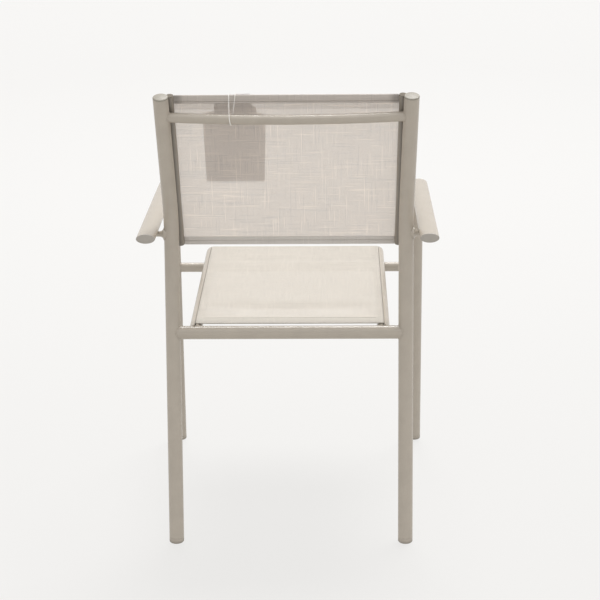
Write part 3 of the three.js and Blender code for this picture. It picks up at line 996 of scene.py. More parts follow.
@dataclass(frozen=True)
class SlingMesh:
    """Coated yarn in a plain open weave, with thick and thin places along single yarns."""

    name: str = "sling_weave"
    colour: Colour = linear(198, 190, 182)
    backlit: Colour = linear(246, 238, 228)
    pitch: float = 0.0016
    yarn_share: float = 0.47
    yarn_softness: float = 0.06
    yarn_height: float = 0.0004
    yarn_relief: float = 0.5
    crossing_least: float = 0.1
    crossing_range: float = 0.8
    warp_seed: float = 5.13
    weft_seed: float = 7.71
    slub_length: float = 0.07
    slub_spread: float = 0.86
    slub_depth: float = 0.285
    slub_swell: float = 0.066
    thick_range: tuple[float, float] = (0.61, 0.71)
    thin_range: tuple[float, float] = (0.4, 0.3)
    patch_scale: float = 24
    patch_depth: float = 0.012
    lit_through: float = 0.36
    roughness: float = 0.62
    sheen: float = 0.1
    # Painted shade at the cloth's side ends by the rails: where it starts, how far it runs, how deep it goes.
    end_from: float = 0.0
    end_shade_run: float = 0.01
    end_shade_depth: float = 0.34

    def build(self) -> bpy.types.Material:
        """Make the material, which reads the piece's UV map in metres.

        Returns:
            The material, clear between its yarns.
        """
        s = Shader(self.name)
        cloth = s.node("TexCoord").outputs["UV"]
        place = s.node("SeparateXYZ", {0: cloth})
        u, v = place.outputs[0], place.outputs[1]
        across, up = s.math("DIVIDE", u, self.pitch), s.math("DIVIDE", v, self.pitch)
        column, row = s.math("FLOOR", across), s.math("FLOOR", up)
        from_warp = s.math("ABSOLUTE", s.math("SUBTRACT", s.math("FRACT", across), 0.5))
        from_weft = s.math("ABSOLUTE", s.math("SUBTRACT", s.math("FRACT", up), 0.5))
        warp_slub = self.slub(s, column, v, self.warp_seed)
        weft_slub = self.slub(s, row, u, self.weft_seed)
        warp = self.covered(s, from_warp, warp_slub)
        weft = self.covered(s, from_weft, weft_slub)
        parity = s.math("MODULO", s.math("ABSOLUTE", s.math("ADD", column, row)), 2.0)
        crossing = s.math("MULTIPLY_ADD", parity, self.crossing_range, self.crossing_least)
        under = s.math("MULTIPLY", weft, crossing)
        warp_share = s.math("MULTIPLY", warp, s.math("SUBTRACT", 1.0, under))
        slub = s.node("Mix", {0: warp_share, 2: weft_slub, 3: warp_slub}, data_type="FLOAT").outputs[0]
        patches = s.spread(s.noise(cloth, self.patch_scale), 1 - self.patch_depth, 1 + self.patch_depth)
        shade = s.math("MULTIPLY", s.math("MULTIPLY_ADD", slub, self.slub_depth, 1.0), patches)
        # Painted shade: the cloth darkens towards its side ends by the rails.
        if self.end_from:
            from_middle = s.math("ABSOLUTE", u)
            end = s.ranged(from_middle, self.end_from, self.end_from + self.end_shade_run, 1, 1 - self.end_shade_depth)
            shade = s.math("MULTIPLY", shade, end)
        crown = s.math("SUBTRACT", 1.0, s.math("MULTIPLY", s.math("MINIMUM", from_warp, from_weft), 2.0))
        inputs = {
            "Base Color": s.shaded_colour(self.colour, shade),
            "Roughness": self.roughness,
            "Normal": s.bump(crown, self.yarn_height, self.yarn_relief),
            "Sheen Weight": self.sheen,
        }
        front = s.node("BsdfPrincipled", inputs).outputs[0]
        behind = s.node("BsdfTranslucent", {"Color": s.shaded_colour(self.backlit, shade)}).outputs[0]
        yarn = s.mixed(self.lit_through, front, behind)
        clear = s.node("BsdfTransparent").outputs[0]
        return s.finish(s.mixed(s.math("MAXIMUM", warp, weft), clear, yarn))

    def slub(self, s: Shader, yarn: Socket, along: Socket, seed: float) -> Socket:
        """Find the thick and thin places of a yarn along its length.

        Args:
            s: The material in the making.
            yarn: The yarn's number.
            along: Distance along it.
            seed: Keeps warp and weft apart.

        Returns:
            A value from -1 where it is thin to 1 where it is thick, and 0 in between.
        """
        number = s.math("MULTIPLY", yarn, self.slub_spread)
        place = s.node("CombineXYZ", {0: s.math("DIVIDE", along, self.slub_length), 1: number, 2: seed})
        noise = s.noise(place.outputs[0], 1.0, 1.0)
        thick = s.ranged(noise, *self.thick_range, 0, 1)
        thin = s.ranged(noise, *self.thin_range, 0, 1)
        return s.math("SUBTRACT", thick, thin)

    def covered(self, s: Shader, distance: Socket, slub: Socket) -> Socket:
        """Find where a yarn lies, with a soft edge.

        Args:
            s: The material in the making.
            distance: Distance from the yarn's middle line, in yarn pitches.
            slub: How thick the yarn is there.

        Returns:
            1 on the yarn and 0 beside it.
        """
        half = s.math("MULTIPLY_ADD", slub, self.slub_swell, self.yarn_share / 2)
        inner = s.math("SUBTRACT", half, self.yarn_softness / 2)
        gap = s.math("DIVIDE", s.math("SUBTRACT", distance, inner), self.yarn_softness)
        return s.math("SUBTRACT", 1.0, s.math("MINIMUM", s.math("MAXIMUM", gap, 0.0), 1.0))


@dataclass(frozen=True)
class PaperCard:
    """Blank card with a faint fibre and a matte face."""

    name: str = "blank_card"
    colour: Colour = linear(238, 236, 235)
    fibre_scale: float = 900
    fibre_height: float = 0.00004
    fibre_strength: float = 0.5
    fibre_shades: tuple[float, float] = (0.965, 1.03)
    roughness: float = 0.72
    lit_through: float = 0.5

    def build(self) -> bpy.types.Material:
        """Make the material.

        Returns:
            The material, which lets some light through.
        """
        s = Shader(self.name)
        place = {"Vector": s.object_point(), "Scale": self.fibre_scale, "Detail": 5.0, "Roughness": 0.7}
        fibre = s.node("TexNoise", place).outputs["Fac"]
        colour = s.shaded_colour(self.colour, s.spread(fibre, *self.fibre_shades))
        normal = s.bump(fibre, self.fibre_height, self.fibre_strength)
        inputs = {"Base Color": colour, "Roughness": self.roughness, "Normal": normal}
        face = s.node("BsdfPrincipled", inputs).outputs[0]
        behind = s.node("BsdfTranslucent", {"Color": colour}).outputs[0]
        return s.finish(s.mixed(self.lit_through, face, behind))


@dataclass(frozen=True)
class CottonThread:
    """Twisted thread: soft, matte and a little fuzzy."""

    name: str
    colour: Colour
    sheen: float = 0.3
    roughness: float = 0.85
    fuzz_scale: float = 3500
    fuzz_height: float = 0.0001
    fuzz_strength: float = 0.4
    fuzz_shades: tuple[float, float] = (0.92, 1.04)

    def build(self) -> bpy.types.Material:
        """Make the material.

        Returns:
            The material.
        """
        s = Shader(self.name)
        fuzz = s.noise(s.object_point(), self.fuzz_scale, 3.0)
        inputs = {
            "Base Color": s.shaded_colour(self.colour, s.spread(fuzz, *self.fuzz_shades)),
            "Roughness": self.roughness,
            "Normal": s.bump(fuzz, self.fuzz_height, self.fuzz_strength),
            "Sheen Weight": self.sheen,
        }
        return s.finish(s.node("BsdfPrincipled", inputs).outputs[0])


@dataclass(frozen=True)
class StudioPaper:
    """Seamless pale paper under the chair that glows, with a painted pool of light in front of it: a soft
    rise in its glow.
    """

    name: str = "pale_floor"
    colour: Colour = linear(62, 61, 60)
    roughness: float = 0.8
    glow: float = 0.764
    glow_colour: Colour = linear(253, 252, 250)
    cloud_scale: float = 2.5
    cloud_shades: tuple[float, float] = (0.995, 1.005)
    pool_centre: tuple[float, float, float] = (0.0, -2.4, 0.0)
    pool_core: float = 0.6
    pool_reach: float = 2.8
    pool_gain: float = 0.045

    def build(self) -> bpy.types.Material:
        """Make the material.

        Returns:
            The material.
        """
        s = Shader(self.name)
        point = s.object_point()
        clouds = s.noise(point, self.cloud_scale, 3.0)
        # Painted light: the glow rises in a soft pool round a point in front of the chair.
        away = s.node("VectorMath", {0: point, 1: self.pool_centre}, operation="DISTANCE").outputs["Value"]
        painted_pool = s.ranged(away, self.pool_core, self.pool_reach, 1 + self.pool_gain, 1)
        inputs = {
            "Base Color": s.shaded_colour(self.colour, s.spread(clouds, *self.cloud_shades)),
            "Roughness": self.roughness,
            "Emission Color": self.glow_colour,
            "Emission Strength": s.math("MULTIPLY", painted_pool, self.glow),
        }
        return s.finish(s.node("BsdfPrincipled", inputs).outputs[0])


def built(look: Look) -> bpy.types.Material:
    """Give a field whose material is made when the chair's finishes are."""
    return field(default_factory=look.build)


def folded(name: str, colour: Colour = SlingMesh.colour, **sizes: float) -> bpy.types.Material:
    """Give a field for a folded hem, whose layers leave hardly a hole between the yarns."""
    return built(SlingMesh(name, colour, yarn_share=0.95, **sizes))


@dataclass(frozen=True)
class Finishes:
    """Every finish of the chair, built once, and the thickness of the sling cloth's yarn."""

    cloth_thickness: float = 0.00045
    paint: bpy.types.Material = built(PowderCoat())
    cap: bpy.types.Material = built(MouldedPlastic("cap_nylon", linear(144, 138, 126)))
    arm_cap: bpy.types.Material = built(
        MouldedPlastic("arm_cap_nylon", linear(163, 157, 148), roughness=0.45)
    )
    # The feet darken towards the floor: painted contact shade.
    foot: bpy.types.Material = built(MouldedPlastic("foot_nylon", linear(171, 162, 149), painted_floor_shade=0.45))
    # The back rails' top caps are coloured dark: painted shade for the shadowed top ends of the rails.
    painted_shade_cap: bpy.types.Material = built(
        MouldedPlastic("rail_cap_painted_shade", linear(112, 104, 92), roughness=0.85)
    )
    # Back rail paint with painted shade beside the posts.
    rail_paint_shaded: bpy.types.Material = built(PowderCoat("back_rail_coat_painted_shade", painted_shade_depth=0.62))
    keder: bpy.types.Material = built(MouldedPlastic("keder_cord", linear(120, 114, 105), roughness=0.7))
    weave: bpy.types.Material = built(SlingMesh())
    # The top hem darkens by the rails: painted shade.
    top_hem: bpy.types.Material = folded("top_hem_weave", slub_depth=0.15, lit_through=0.1, end_from=0.184)
    low_hem: bpy.types.Material = folded(
        "low_hem_weave", linear(199, 193, 186), slub_depth=0.15, lit_through=0.02
    )
    lining: bpy.types.Material = built(SlingMesh("lining_weave", yarn_share=0.33))
    seat_weave: bpy.types.Material = built(
        SlingMesh("seat_weave", linear(192, 185, 174), yarn_share=0.66, slub_depth=0.12, lit_through=0.12)
    )
    seat_hem: bpy.types.Material = folded(
        "seat_hem_weave", linear(188, 182, 171), slub_depth=0.12, lit_through=0.1
    )
    card: bpy.types.Material = built(PaperCard())
    string: bpy.types.Material = built(CottonThread("white_string", linear(250, 248, 243)))
    stitch: bpy.types.Material = built(CottonThread("sewing_thread", linear(148, 140, 129), sheen=0.1))


# Node trees for what follows a line


class LineTree(TreeBuilder):
    """A Geometry Nodes tree that follows the edges of a line object."""

    def __init__(self, name: str, sizes: dict[str, float]) -> None:
        """Start the tree.

        Args:
            name: The tree's name.
            sizes: Its named inputs, with their values.
        """
        super().__init__(bpy.data.node_groups.new(name, "GeometryNodeTree"))
        face = self.tree.interface
        face.new_socket("Geometry", in_out="INPUT", socket_type="NodeSocketGeometry")
        for label in sizes:
            face.new_socket(label, in_out="INPUT", socket_type="NodeSocketFloat")
        face.new_socket("Seed", in_out="INPUT", socket_type="NodeSocketInt")
        face.new_socket("Material", in_out="INPUT", socket_type="NodeSocketMaterial")
        face.new_socket("Geometry", in_out="OUTPUT", socket_type="NodeSocketGeometry")
        self.sizes = sizes
        self.inputs = self.tree.nodes.new("NodeGroupInput")
        self.outputs = self.tree.nodes.new("NodeGroupOutput")

    def size(self, label: str) -> Socket:
        """The socket of a named input."""
        return self.inputs.outputs[label]

    def end(self, geometry: Socket) -> None:
        """Realize what was made, and give it its material.

        Args:
            geometry: The socket that holds it.
        """
        real = self.node("GeometryNodeRealizeInstances", {"Geometry": geometry}).outputs[0]
        inputs = {"Geometry": real, "Material": self.size("Material")}
        dressed = self.node("GeometryNodeSetMaterial", inputs).outputs[0]
        self.tree.links.new(dressed, self.outputs.inputs[0])

    def run_on(self, line: bpy.types.Object, material: bpy.types.Material, seed: int) -> bpy.types.Object:
        """Run the tree on a line object and keep the result as a plain mesh.

        Args:
            line: The line object, which becomes the piece.
            material: The piece's finish.
            seed: Seed of the small differences.

        Returns:
            The piece.
        """
        modifier = line.modifiers.new(self.tree.name, "NODES")
        modifier.node_group = self.tree
        values = {**self.sizes, "Seed": seed, "Material": material}
        for item in self.tree.interface.items_tree:
            if item.item_type == "SOCKET" and item.in_out == "INPUT" and item.name in values:
                modifier[item.identifier] = values[item.name]
        return plain_mesh(line)


@dataclass(frozen=True)
class WeldBead:
    """A dressed weld seam under paint: a low bead with the faint ripples of its passes."""

    radius: float = 0.001
    ripple: float = 0.06
    pitch: float = 0.0016
    step_share: float = 0.25
    patch_scale: float = 300.0
    patch_least: float = 0.9
    patch_range: float = 0.2
    sides: int = 10

    def tree(self) -> LineTree:
        """Make the node tree.

        Returns:
            The tree, to run on the line of a joint.
        """
        sizes = {"Bead Radius": self.radius, "Ripple": self.ripple, "Ripple Pitch": self.pitch}
        made = LineTree("weld_bead", sizes)
        curve = made.node("GeometryNodeMeshToCurve", {"Mesh": made.size("Geometry")})
        step = made.math("MULTIPLY", made.size("Ripple Pitch"), self.step_share)
        inputs = {"Curve": curve.outputs[0], "Length": step}
        even = made.node("GeometryNodeResampleCurve", inputs, mode="LENGTH")
        along = made.node("GeometryNodeSplineParameter").outputs["Length"]
        phase = made.math("MULTIPLY", made.math("DIVIDE", along, made.size("Ripple Pitch")), 2 * math.pi)
        inputs = {"Scale": self.patch_scale, "W": made.size("Seed")}
        noise = made.node("ShaderNodeTexNoise", inputs, noise_dimensions="4D")
        uneven = made.math("MULTIPLY_ADD", noise.outputs[0], self.patch_range, self.patch_least)
        wave = made.math("MULTIPLY_ADD", made.math("SINE", phase), made.size("Ripple"), uneven)
        radius = made.math("MULTIPLY", wave, made.size("Bead Radius"))
        profile = made.node("GeometryNodeCurvePrimitiveCircle", {"Resolution": self.sides, "Radius": 1.0})
        inputs = {
            "Curve": even.outputs[0],
            "Profile Curve": profile.outputs[0],
            "Scale": radius,
            "Fill Caps": True,
        }
        made.end(made.node("GeometryNodeCurveToMesh", inputs).outputs[0])
        return made


@dataclass(frozen=True)
class SeamStitch:
    """Lockstitches along a seam: short plump threads that dip into the cloth at both ends."""

    length: float = 0.0029
    pitch: float = 0.0036
    thickness: float = 0.0007
    tilt: float = 0.1
    segments: int = 8
    rings: int = 6

    def tree(self) -> LineTree:
        """Make the node tree.

        Returns:
            The tree, to run on the line of a seam.
        """
        sizes = {
            "Stitch Length": self.length,
            "Stitch Pitch": self.pitch,
            "Thread": self.thickness,
            "Tilt": self.tilt,
        }
        made = LineTree("seam_stitches", sizes)
        curve = made.node("GeometryNodeMeshToCurve", {"Mesh": made.size("Geometry")})
        inputs = {"Curve": curve.outputs[0], "Length": made.size("Stitch Pitch")}
        points = made.node("GeometryNodeCurveToPoints", inputs, mode="LENGTH")
        inputs = {"Segments": self.segments, "Rings": self.rings, "Radius": 0.5}
        ball = made.node("GeometryNodeMeshUVSphere", inputs)
        scale = made.node(
            "ShaderNodeCombineXYZ",
            {0: made.size("Thread"), 1: made.size("Thread"), 2: made.size("Stitch Length")},
        )
        inputs = {"Geometry": ball.outputs[0], "Scale": scale.outputs[0]}
        long_ball = made.node("GeometryNodeTransform", inputs)
        rounded = made.node("GeometryNodeSetShadeSmooth", {"Geometry": long_ball.outputs[0]})
        low = made.math("MULTIPLY", made.size("Tilt"), -1.0)
        turn = made.node(
            "FunctionNodeRandomValue",
            {2: low, 3: made.size("Tilt"), "Seed": made.size("Seed")},
            data_type="FLOAT",
        )
        spin = made.node("ShaderNodeCombineXYZ", {0: turn.outputs[1], 1: turn.outputs[1]})
        local = made.node(
            "FunctionNodeRotateRotation",
            {"Rotation": points.outputs["Rotation"], "Rotate By": spin.outputs[0]},
            rotation_space="LOCAL",
        )
        placed = made.node(
            "GeometryNodeInstanceOnPoints",
            {"Points": points.outputs[0], "Instance": rounded.outputs[0], "Rotation": local.outputs[0]},
        )
        made.end(placed.outputs[0])
        return made


# Sub-assemblies


@dataclass
class TubeFrame:
    """Posts, legs with their arms, cross members, rails and the welds that join them."""

    plan: Plan
    finishes: Finishes
    nodes: dict[str, bpy.types.Object]
    sides: int = 56
    painted_shade_reach: float = 0.018
    joint_points: int = 72
    top_rail_share: float = 0.9
    below_post_end: float = 0.04
    before_rear_bar: float = 0.05
    before_rail_bend: float = 0.004
    copied: tuple[str, ...] = (
        "rear_seat_bar",
        "front_seat_bar",
        "back_top_rail",
        "seat_rail_left",
        "seat_rail_right",
        "seat_saddle_left",
        "seat_saddle_right",
        "back_rail_left",
        "back_rail_right",
        "arm_bracket_left",
        "arm_bracket_right",
    )
    weld: WeldBead = WeldBead()

    def build(self) -> None:
        """Make and dress every tube of the frame."""
        for side in Side:
            self.post(side)
            self.arm(side)
        for name in self.copied:
            piece = merged_copy(name.replace("_bar", "_cross_tube") + "_smooth", self.nodes[name])
            paint = self.finishes.paint
            # The back rails get the paint with painted shade, marked by how close their points lie to the
            # posts.
            if name.startswith("back_rail"):
                paint = self.finishes.rail_paint_shaded
                self.paint_recess_shade(piece, Side.LEFT if name.endswith("left") else Side.RIGHT)
            declare(piece, paint, Slot.FRAME, [name])
        self.welds()

    def post(self, side: Side) -> None:
        """Sweep a rear post.

        Args:
            side: The chair's side.
        """
        outer, inner = self.plan.post_radius, self.plan.post_radius - self.plan.wall
        section = [oval(outer, outer, self.sides), oval(inner, inner, self.sides)]
        piece = sweep(f"post_tube_{side.label}", self.plan.post_path(side), X_AXIS, lambda _: section)
        declare(piece, self.finishes.paint, Slot.FRAME, [f"rear_post_{side.label}"])

    def arm(self, side: Side) -> None:
        """Sweep a front leg and its arm in one tube, round below and oval above.

        Args:
            side: The chair's side.
        """

        def section(station: Station) -> list[Loop]:
            """Draw the hollow section of the tube.

            Args:
                station: A place on its middle line.

            Returns:
                The outer and the inner outline.
            """
            a, b = self.plan.arm_halves(station.turn)
            wall = self.plan.wall
            return [oval(a, b, self.sides), oval(a - wall, b - wall, self.sides)]

        piece = sweep(f"arm_tube_{side.label}", self.plan.arm_path(side), X_AXIS, section)
        declare(piece, self.finishes.paint, Slot.FRAME, [f"arm_leg_{side.label}"])

    def paint_recess_shade(self, rail: bpy.types.Object, side: Side) -> None:
        """Mark how near a back rail's points lie to its post, for painted shade: the paint is darkened there
        as if in shade.

        Args:
            rail: The rail's smooth copy.
            side: The chair's side.
        """
        post = self.plan.post_path(side)[-1]
        layer = rail.data.attributes.new(PAINTED_SHADE_ATTRIBUTE, "FLOAT", "POINT")
        for vertex in rail.data.vertices:
            offset = vertex.co - post.point
            gap = (offset - post.tangent * offset.dot(post.tangent)).length - self.plan.post_radius
            layer.data[vertex.index].value = max(0.0, 1 - gap / self.painted_shade_reach)

    def joint_loop(
        self, centre: Vector, axis: Vector, radius: float, other: Station, reach: float
    ) -> list[Vector]:
        """Find the line where a round bar meets a round tube.

        Args:
            centre: A point on the bar's middle line, outside the tube.
            axis: The bar's direction, towards the tube.
            radius: The bar's radius.
            other: A station on the tube's middle line, near the joint.
            reach: The tube's radius.

        Returns:
            Points round the joint.
        """
        across = axis.orthogonal().normalized()
        lift = axis.cross(across)
        points: list[Vector] = []
        for k in range(self.joint_points):
            angle = 2 * math.pi * k / self.joint_points
            start = centre + across * (radius * math.cos(angle)) + lift * (radius * math.sin(angle))
            offset = start - other.point
            flat = offset - other.tangent * offset.dot(other.tangent)
            way = axis - other.tangent * axis.dot(other.tangent)
            a, b, c = way.dot(way), 2 * flat.dot(way), flat.dot(flat) - reach**2
            root = b * b - 4 * a * c
            run = (-b - math.sqrt(max(root, 0.0))) / (2 * a)
            points.append(start + axis * run)
        return points

    def joints(self) -> dict[str, list[Vector]]:
        """Find the lines of all the welded joints.

        Returns:
            Points round each joint, by the joint's name.
        """
        plan = self.plan
        post_radius, front_bar = plan.post_radius, plan.front_bar / 2
        loops: dict[str, list[Vector]] = {}
        for side in Side:
            x, label = side.value, side.label
            out = X_AXIS * x
            bar = plan.rear_bar_point(x * plan.seat_spread)
            post = plan.post_at(side, plan.rear_bar_z)
            loops[f"rear_bar_{label}"] = self.joint_loop(bar, out, plan.rear_bar / 2, post, post_radius)
            bar = plan.front_bar_point(x * plan.seat_spread)
            leg = Station(Vector((x * plan.arm_spread, *plan.front_bar_point(0).yz)), Z_AXIS, 0, 0)
            loops[f"front_bar_{label}"] = self.joint_loop(bar, out, front_bar, leg, post_radius)
            rail = plan.top_rail_station(x * self.top_rail_share)
            corners = plan.post_path(side)
            post = station_at(corners, corners[-1].run - self.below_post_end)
            loops[f"top_rail_{label}"] = self.joint_loop(
                rail.point, rail.tangent * x, plan.top_rail / 2, post, post_radius
            )
            seat = plan.seat_path(x * plan.seat_spread)
            rear_bar = Station(seat[0].point * 1.0, X_AXIS, 0, 0)
            rear_bar.point.z = plan.rear_bar_z
            climb = seat[0].tangent
            start = seat[0].point + climb * self.before_rear_bar
            loops[f"seat_rail_{label}"] = self.joint_loop(
                start, -climb, plan.seat_rail / 2, rear_bar, plan.rear_bar / 2
            )
            low = Station(bar, X_AXIS, 0, 0)
            high = station_at(seat, seat[1].run - self.before_rail_bend)
            top = bar + Z_AXIS * (front_bar + plan.saddle_height / 2)
            saddle = plan.saddle / 2
            loops[f"saddle_low_{label}"] = self.joint_loop(top, -Z_AXIS, saddle, low, front_bar)
            loops[f"saddle_high_{label}"] = self.joint_loop(top, Z_AXIS, saddle, high, plan.seat_rail / 2)
        return loops

    def welds(self) -> None:
        """Lay a bead round every welded joint."""
        loops = self.joints()
        tree = self.weld.tree()
        for seed, (name, points) in enumerate(loops.items()):
            piece = tree.run_on(line_object(f"weld_{name}", points, True), self.finishes.paint, seed)
            crease(piece.data, SOFT_EDGE)
            declare(piece, self.finishes.paint, Slot.FRAME)


@dataclass
class TubeEnds:
    """Plugs in the tube ends: flat round ones in the posts, oval ones in the arms, and the feet."""

    plan: Plan
    finishes: Finishes
    nodes: dict[str, bpy.types.Object]
    rim: float = 0.0026
    dome: float = 0.0012
    edge: float = 0.002
    seat_gap: float = 0.00008
    stem: float = 0.012
    arm_rim: float = 0.0024
    arm_dome: float = 0.0014
    arm_edge: float = 0.0012
    rim_start: float = 0.0006
    rim_less: float = 0.0013
    edge_steps: int = 6
    dome_steps: int = 8

    def build(self) -> None:
        """Make and dress every plug and foot."""
        for side in Side:
            self.post_cap(side)
            self.arm_cap(side)
        for name in sorted(self.nodes):
            if "_foot_" in name:
                piece = merged_copy(f"{name}_smooth", self.nodes[name])
                declare(piece, self.finishes.foot, Slot.FOOT, [name])
            elif "rail_plug" in name or "rail_cap" in name:
                piece = merged_copy(f"{name}_smooth", self.nodes[name])
                # The top caps of the back rails get the dark plastic that paints their shade.
                finish = self.finishes.painted_shade_cap if "rail_cap_top" in name else self.finishes.cap
                if "rail_cap" in name:
                    self.thin_rim(piece)
                declare(piece, finish, Slot.CAP, [name])

    def profile(self, radius: float, stem_radius: float, rim: float, dome: float, edge: float) -> Loop:
        """Draw half the section of a plug with a rounded rim and a low dome.

        Args:
            radius: The tube's outer radius.
            stem_radius: Radius of the part inside the tube.
            rim: Height of the rim.
            dome: Rise of the dome over the rim.
            edge: Radius of the rim's rounding.

        Returns:
            Pairs of radius and height.
        """
        top = self.plan.fit + rim
        gap = self.seat_gap
        loop: Loop = [(0, -self.stem), (stem_radius, -self.stem), (stem_radius, gap), (radius, gap)]
        for k in range(self.edge_steps + 1):
            angle = math.pi / 2 * k / self.edge_steps
            loop.append((radius - edge + edge * math.cos(angle), top - edge + edge * math.sin(angle)))
        for k in range(1, self.dome_steps + 1):
            share = k / self.dome_steps
            loop.append(((radius - edge) * (1 - share), top + dome * (1 - (1 - share) ** 2)))
        return loop

    def thin_rim(self, piece: bpy.types.Object) -> None:
        """Make the rim of a back rail's cap thinner, so that it ends about level with the sling.

        Args:
            piece: The cap's smooth copy.
        """
        plan = self.plan
        foot = plan.back_point(0, 0, 0)
        for vertex in piece.data.vertices:
            along = (vertex.co - foot).dot(plan.back_up)
            if along > plan.rail_top + self.rim_start:
                vertex.co -= plan.back_up * self.rim_less
            elif along < -plan.back_rail_below - self.rim_start:
                vertex.co += plan.back_up * self.rim_less

    def post_cap(self, side: Side) -> None:
        """Turn the plug of a rear post.

        Args:
            side: The chair's side.
        """
        end = self.plan.post_path(side)[-1]
        radius = self.plan.post_radius
        inner = radius - self.plan.wall - self.plan.fit
        outline = self.profile(radius, inner, self.rim, self.dome, self.edge)
        piece = turned(f"post_plug_{side.label}", outline, end.point, end.tangent)
        declare(piece, self.finishes.cap, Slot.CAP, [f"post_cap_{side.label}"])

    def arm_cap(self, side: Side) -> None:
        """Turn the oval plug of an arm's rear end.

        Args:
            side: The chair's side.
        """
        end = self.plan.arm_path(side)[-1]
        half = self.plan.arm_width / 2
        ratio = self.plan.arm_height / self.plan.arm_width
        inner = half - (self.plan.wall + self.plan.fit) / ratio
        outline = self.profile(half, inner, self.arm_rim, self.arm_dome, self.arm_edge)
        piece = turned(f"arm_plug_{side.label}", outline, end.point, end.tangent, ratio)
        declare(piece, self.finishes.arm_cap, Slot.CAP, [f"arm_end_cap_{side.label}"])


@dataclass
class Keders:
    """Cords that hold the slings' edges in the rails."""

    finishes: Finishes
    nodes: dict[str, bpy.types.Object]

    def build(self) -> None:
        """Dress a smooth copy of every keder cord."""
        for name in sorted(n for n in self.nodes if "_keder_" in n):
            piece = merged_copy(f"{name}_smooth", self.nodes[name], SOFT_EDGE)
            declare(piece, self.finishes.keder, Slot.KEDER, [name])


@dataclass
class SeatSling:
    """Mesh cloth over the seat rails, its edges turned down into the slots, a folded hem at each end."""

    plan: Plan
    finishes: Finishes
    start: float = 0.0128
    front_setback: float = 0.001
    rear_hem: float = 0.03
    front_hem: float = 0.012
    edge_radius: float = 0.0022
    slot_side: float = 0.0009
    tuck: float = 0.0056
    edge_steps: int = 5
    sag: float = 0.0012
    sag_rearward: float = 1.12
    trough_run: float = 0.105
    trough_rear: float = 0.04
    trough_front: float = 0.018
    trough_depth: float = 0.0052
    hem_clear: float = 0.0008
    hem_lap: float = 0.0004
    hem_edge: float = 0.0001
    hem_under: float = 0.0018
    hem_over: float = 0.0005
    hem_step: float = 0.0006
    seam_inset: float = 0.003
    stitch_share: float = 0.6
    cell: float = 0.006

    def build(self) -> None:
        """Make the sheet, its hems and its seams."""
        path = self.plan.seat_path(0)
        end = path[-1].run - self.front_setback
        stations = stretch(path, self.start, end, self.cell)
        height = self.plan.seat_rail / 2 + self.plan.fit + self.plan.cloth / 2
        section = self.section(height)
        rows: list[list[Vector]] = []
        uvs: list[list[tuple[float, float]]] = []
        for station in stations:
            lift = station.tangent.cross(X_AXIS)
            rows.append(
                [station.point + X_AXIS * x + lift * (y - self.dip(x, station, end)) for x, y, _ in section]
            )
            uvs.append([(u, station.run) for _, _, u in section])
        sheet = grid_sheet("seat_cloth", rows, uvs)
        thicken(sheet, self.finishes.cloth_thickness)
        declare(sheet, self.finishes.seat_weave, Slot.SLING, ["seat_sling"])
        rear_seam = self.start + self.rear_hem - self.seam_inset
        front_seam = end - self.front_hem + self.seam_inset
        hems = [
            self.hem("seat_hem_rear", path, self.start, self.start + self.rear_hem, rear_seam, height),
            self.hem("seat_hem_front", path, end - self.front_hem, end, front_seam, height),
        ]
        seams = [
            self.seam("seat_stitches_rear", path, rear_seam, height, 11),
            self.seam("seat_stitches_front", path, front_seam, height, 12),
        ]

    def section(self, height: float) -> list[tuple[float, float, float]]:
        """Draw the sheet's section from slot to slot.

        Args:
            height: Height of the flat part over the rails' middle lines.

        Returns:
            Triples of x, height and distance run.
        """
        half, radius = self.plan.seat_spread + self.slot_side, self.edge_radius
        right = [(half, height - radius - self.tuck), (half, height - radius)]
        for k in range(1, self.edge_steps + 1):
            angle = math.pi / 2 * k / self.edge_steps
            right.append((half - radius * (1 - math.cos(angle)), height - radius + radius * math.sin(angle)))
        flat = half - radius
        count = round(2 * flat / self.cell)
        middle = [(flat - 2 * flat * k / count, height) for k in range(1, count)]
        left = [(-x, y) for x, y in reversed(right)]
        points = (right + middle + left)[::-1]
        run = -half
        section = [(points[0][0], points[0][1], run)]
        for a, b in zip(points, points[1:]):
            run += math.hypot(b[0] - a[0], b[1] - a[1])
            section.append((b[0], b[1], run))
        return section

    def dip(self, x: float, station: Station, end: float) -> float:
        """Find how far the cloth gives between the rails, most of all in its trough.

        Args:
            x: Distance from the middle of the seat.
            station: The place along the rails.
            end: Distance along the rails at which the cloth ends.

        Returns:
            Its depth under the flat height.
        """
        across = max(0.0, 1 - (x / (self.plan.seat_spread - self.edge_radius)) ** 2)
        along = (station.run - self.start) / (end - self.start)
        width = self.trough_rear if station.run < self.trough_run else self.trough_front
        trough = self.trough_depth * math.exp(-(((station.run - self.trough_run) / width) ** 2))
        return across * (self.sag * math.sin(math.pi * min(1.0, along * self.sag_rearward)) + trough)

    def hem(
        self, name: str, path: list[Station], start: float, end: float, seam: float, height: float
    ) -> bpy.types.Object:
        """Make a folded hem between the rails, with a groove at its seam.

        Args:
            name: The piece's name.
            path: The path of the seat's middle line.
            start: Distance along the path of its first edge.
            end: Distance of its last edge.
            seam: Distance of its seam.
            height: Height of the cloth over the path.

        Returns:
            The hem.
        """
        half = self.plan.seat_spread - self.plan.seat_rail / 2 - self.hem_clear
        wide = self.plan.seat_spread - self.edge_radius
        run = stretch(path, start - self.hem_lap, end + self.hem_lap, self.hem_step)

        def section(station: Station) -> list[Loop]:
            """Draw one layer over the rails and a fold between them.

            Args:
                station: A place across the hem.

            Returns:
                The outline there, thinner at the edges and the seam.
            """
            swell = hem_swell(station.run - run[0].run, run[-1].run - station.run, abs(station.run - seam))
            low, high = height - self.hem_under * swell, height + self.hem_over * swell
            edge = height - self.hem_edge
            right = [(half, low), (half, edge), (wide, edge), (wide, high)]
            return [right + [(-x, y) for x, y in reversed(right)]]

        piece = sweep(name, run, X_AXIS, section)
        lay_uv(piece, lambda p: (p.x, p.y))
        declare(piece, self.finishes.seat_hem, Slot.SLING)
        return piece

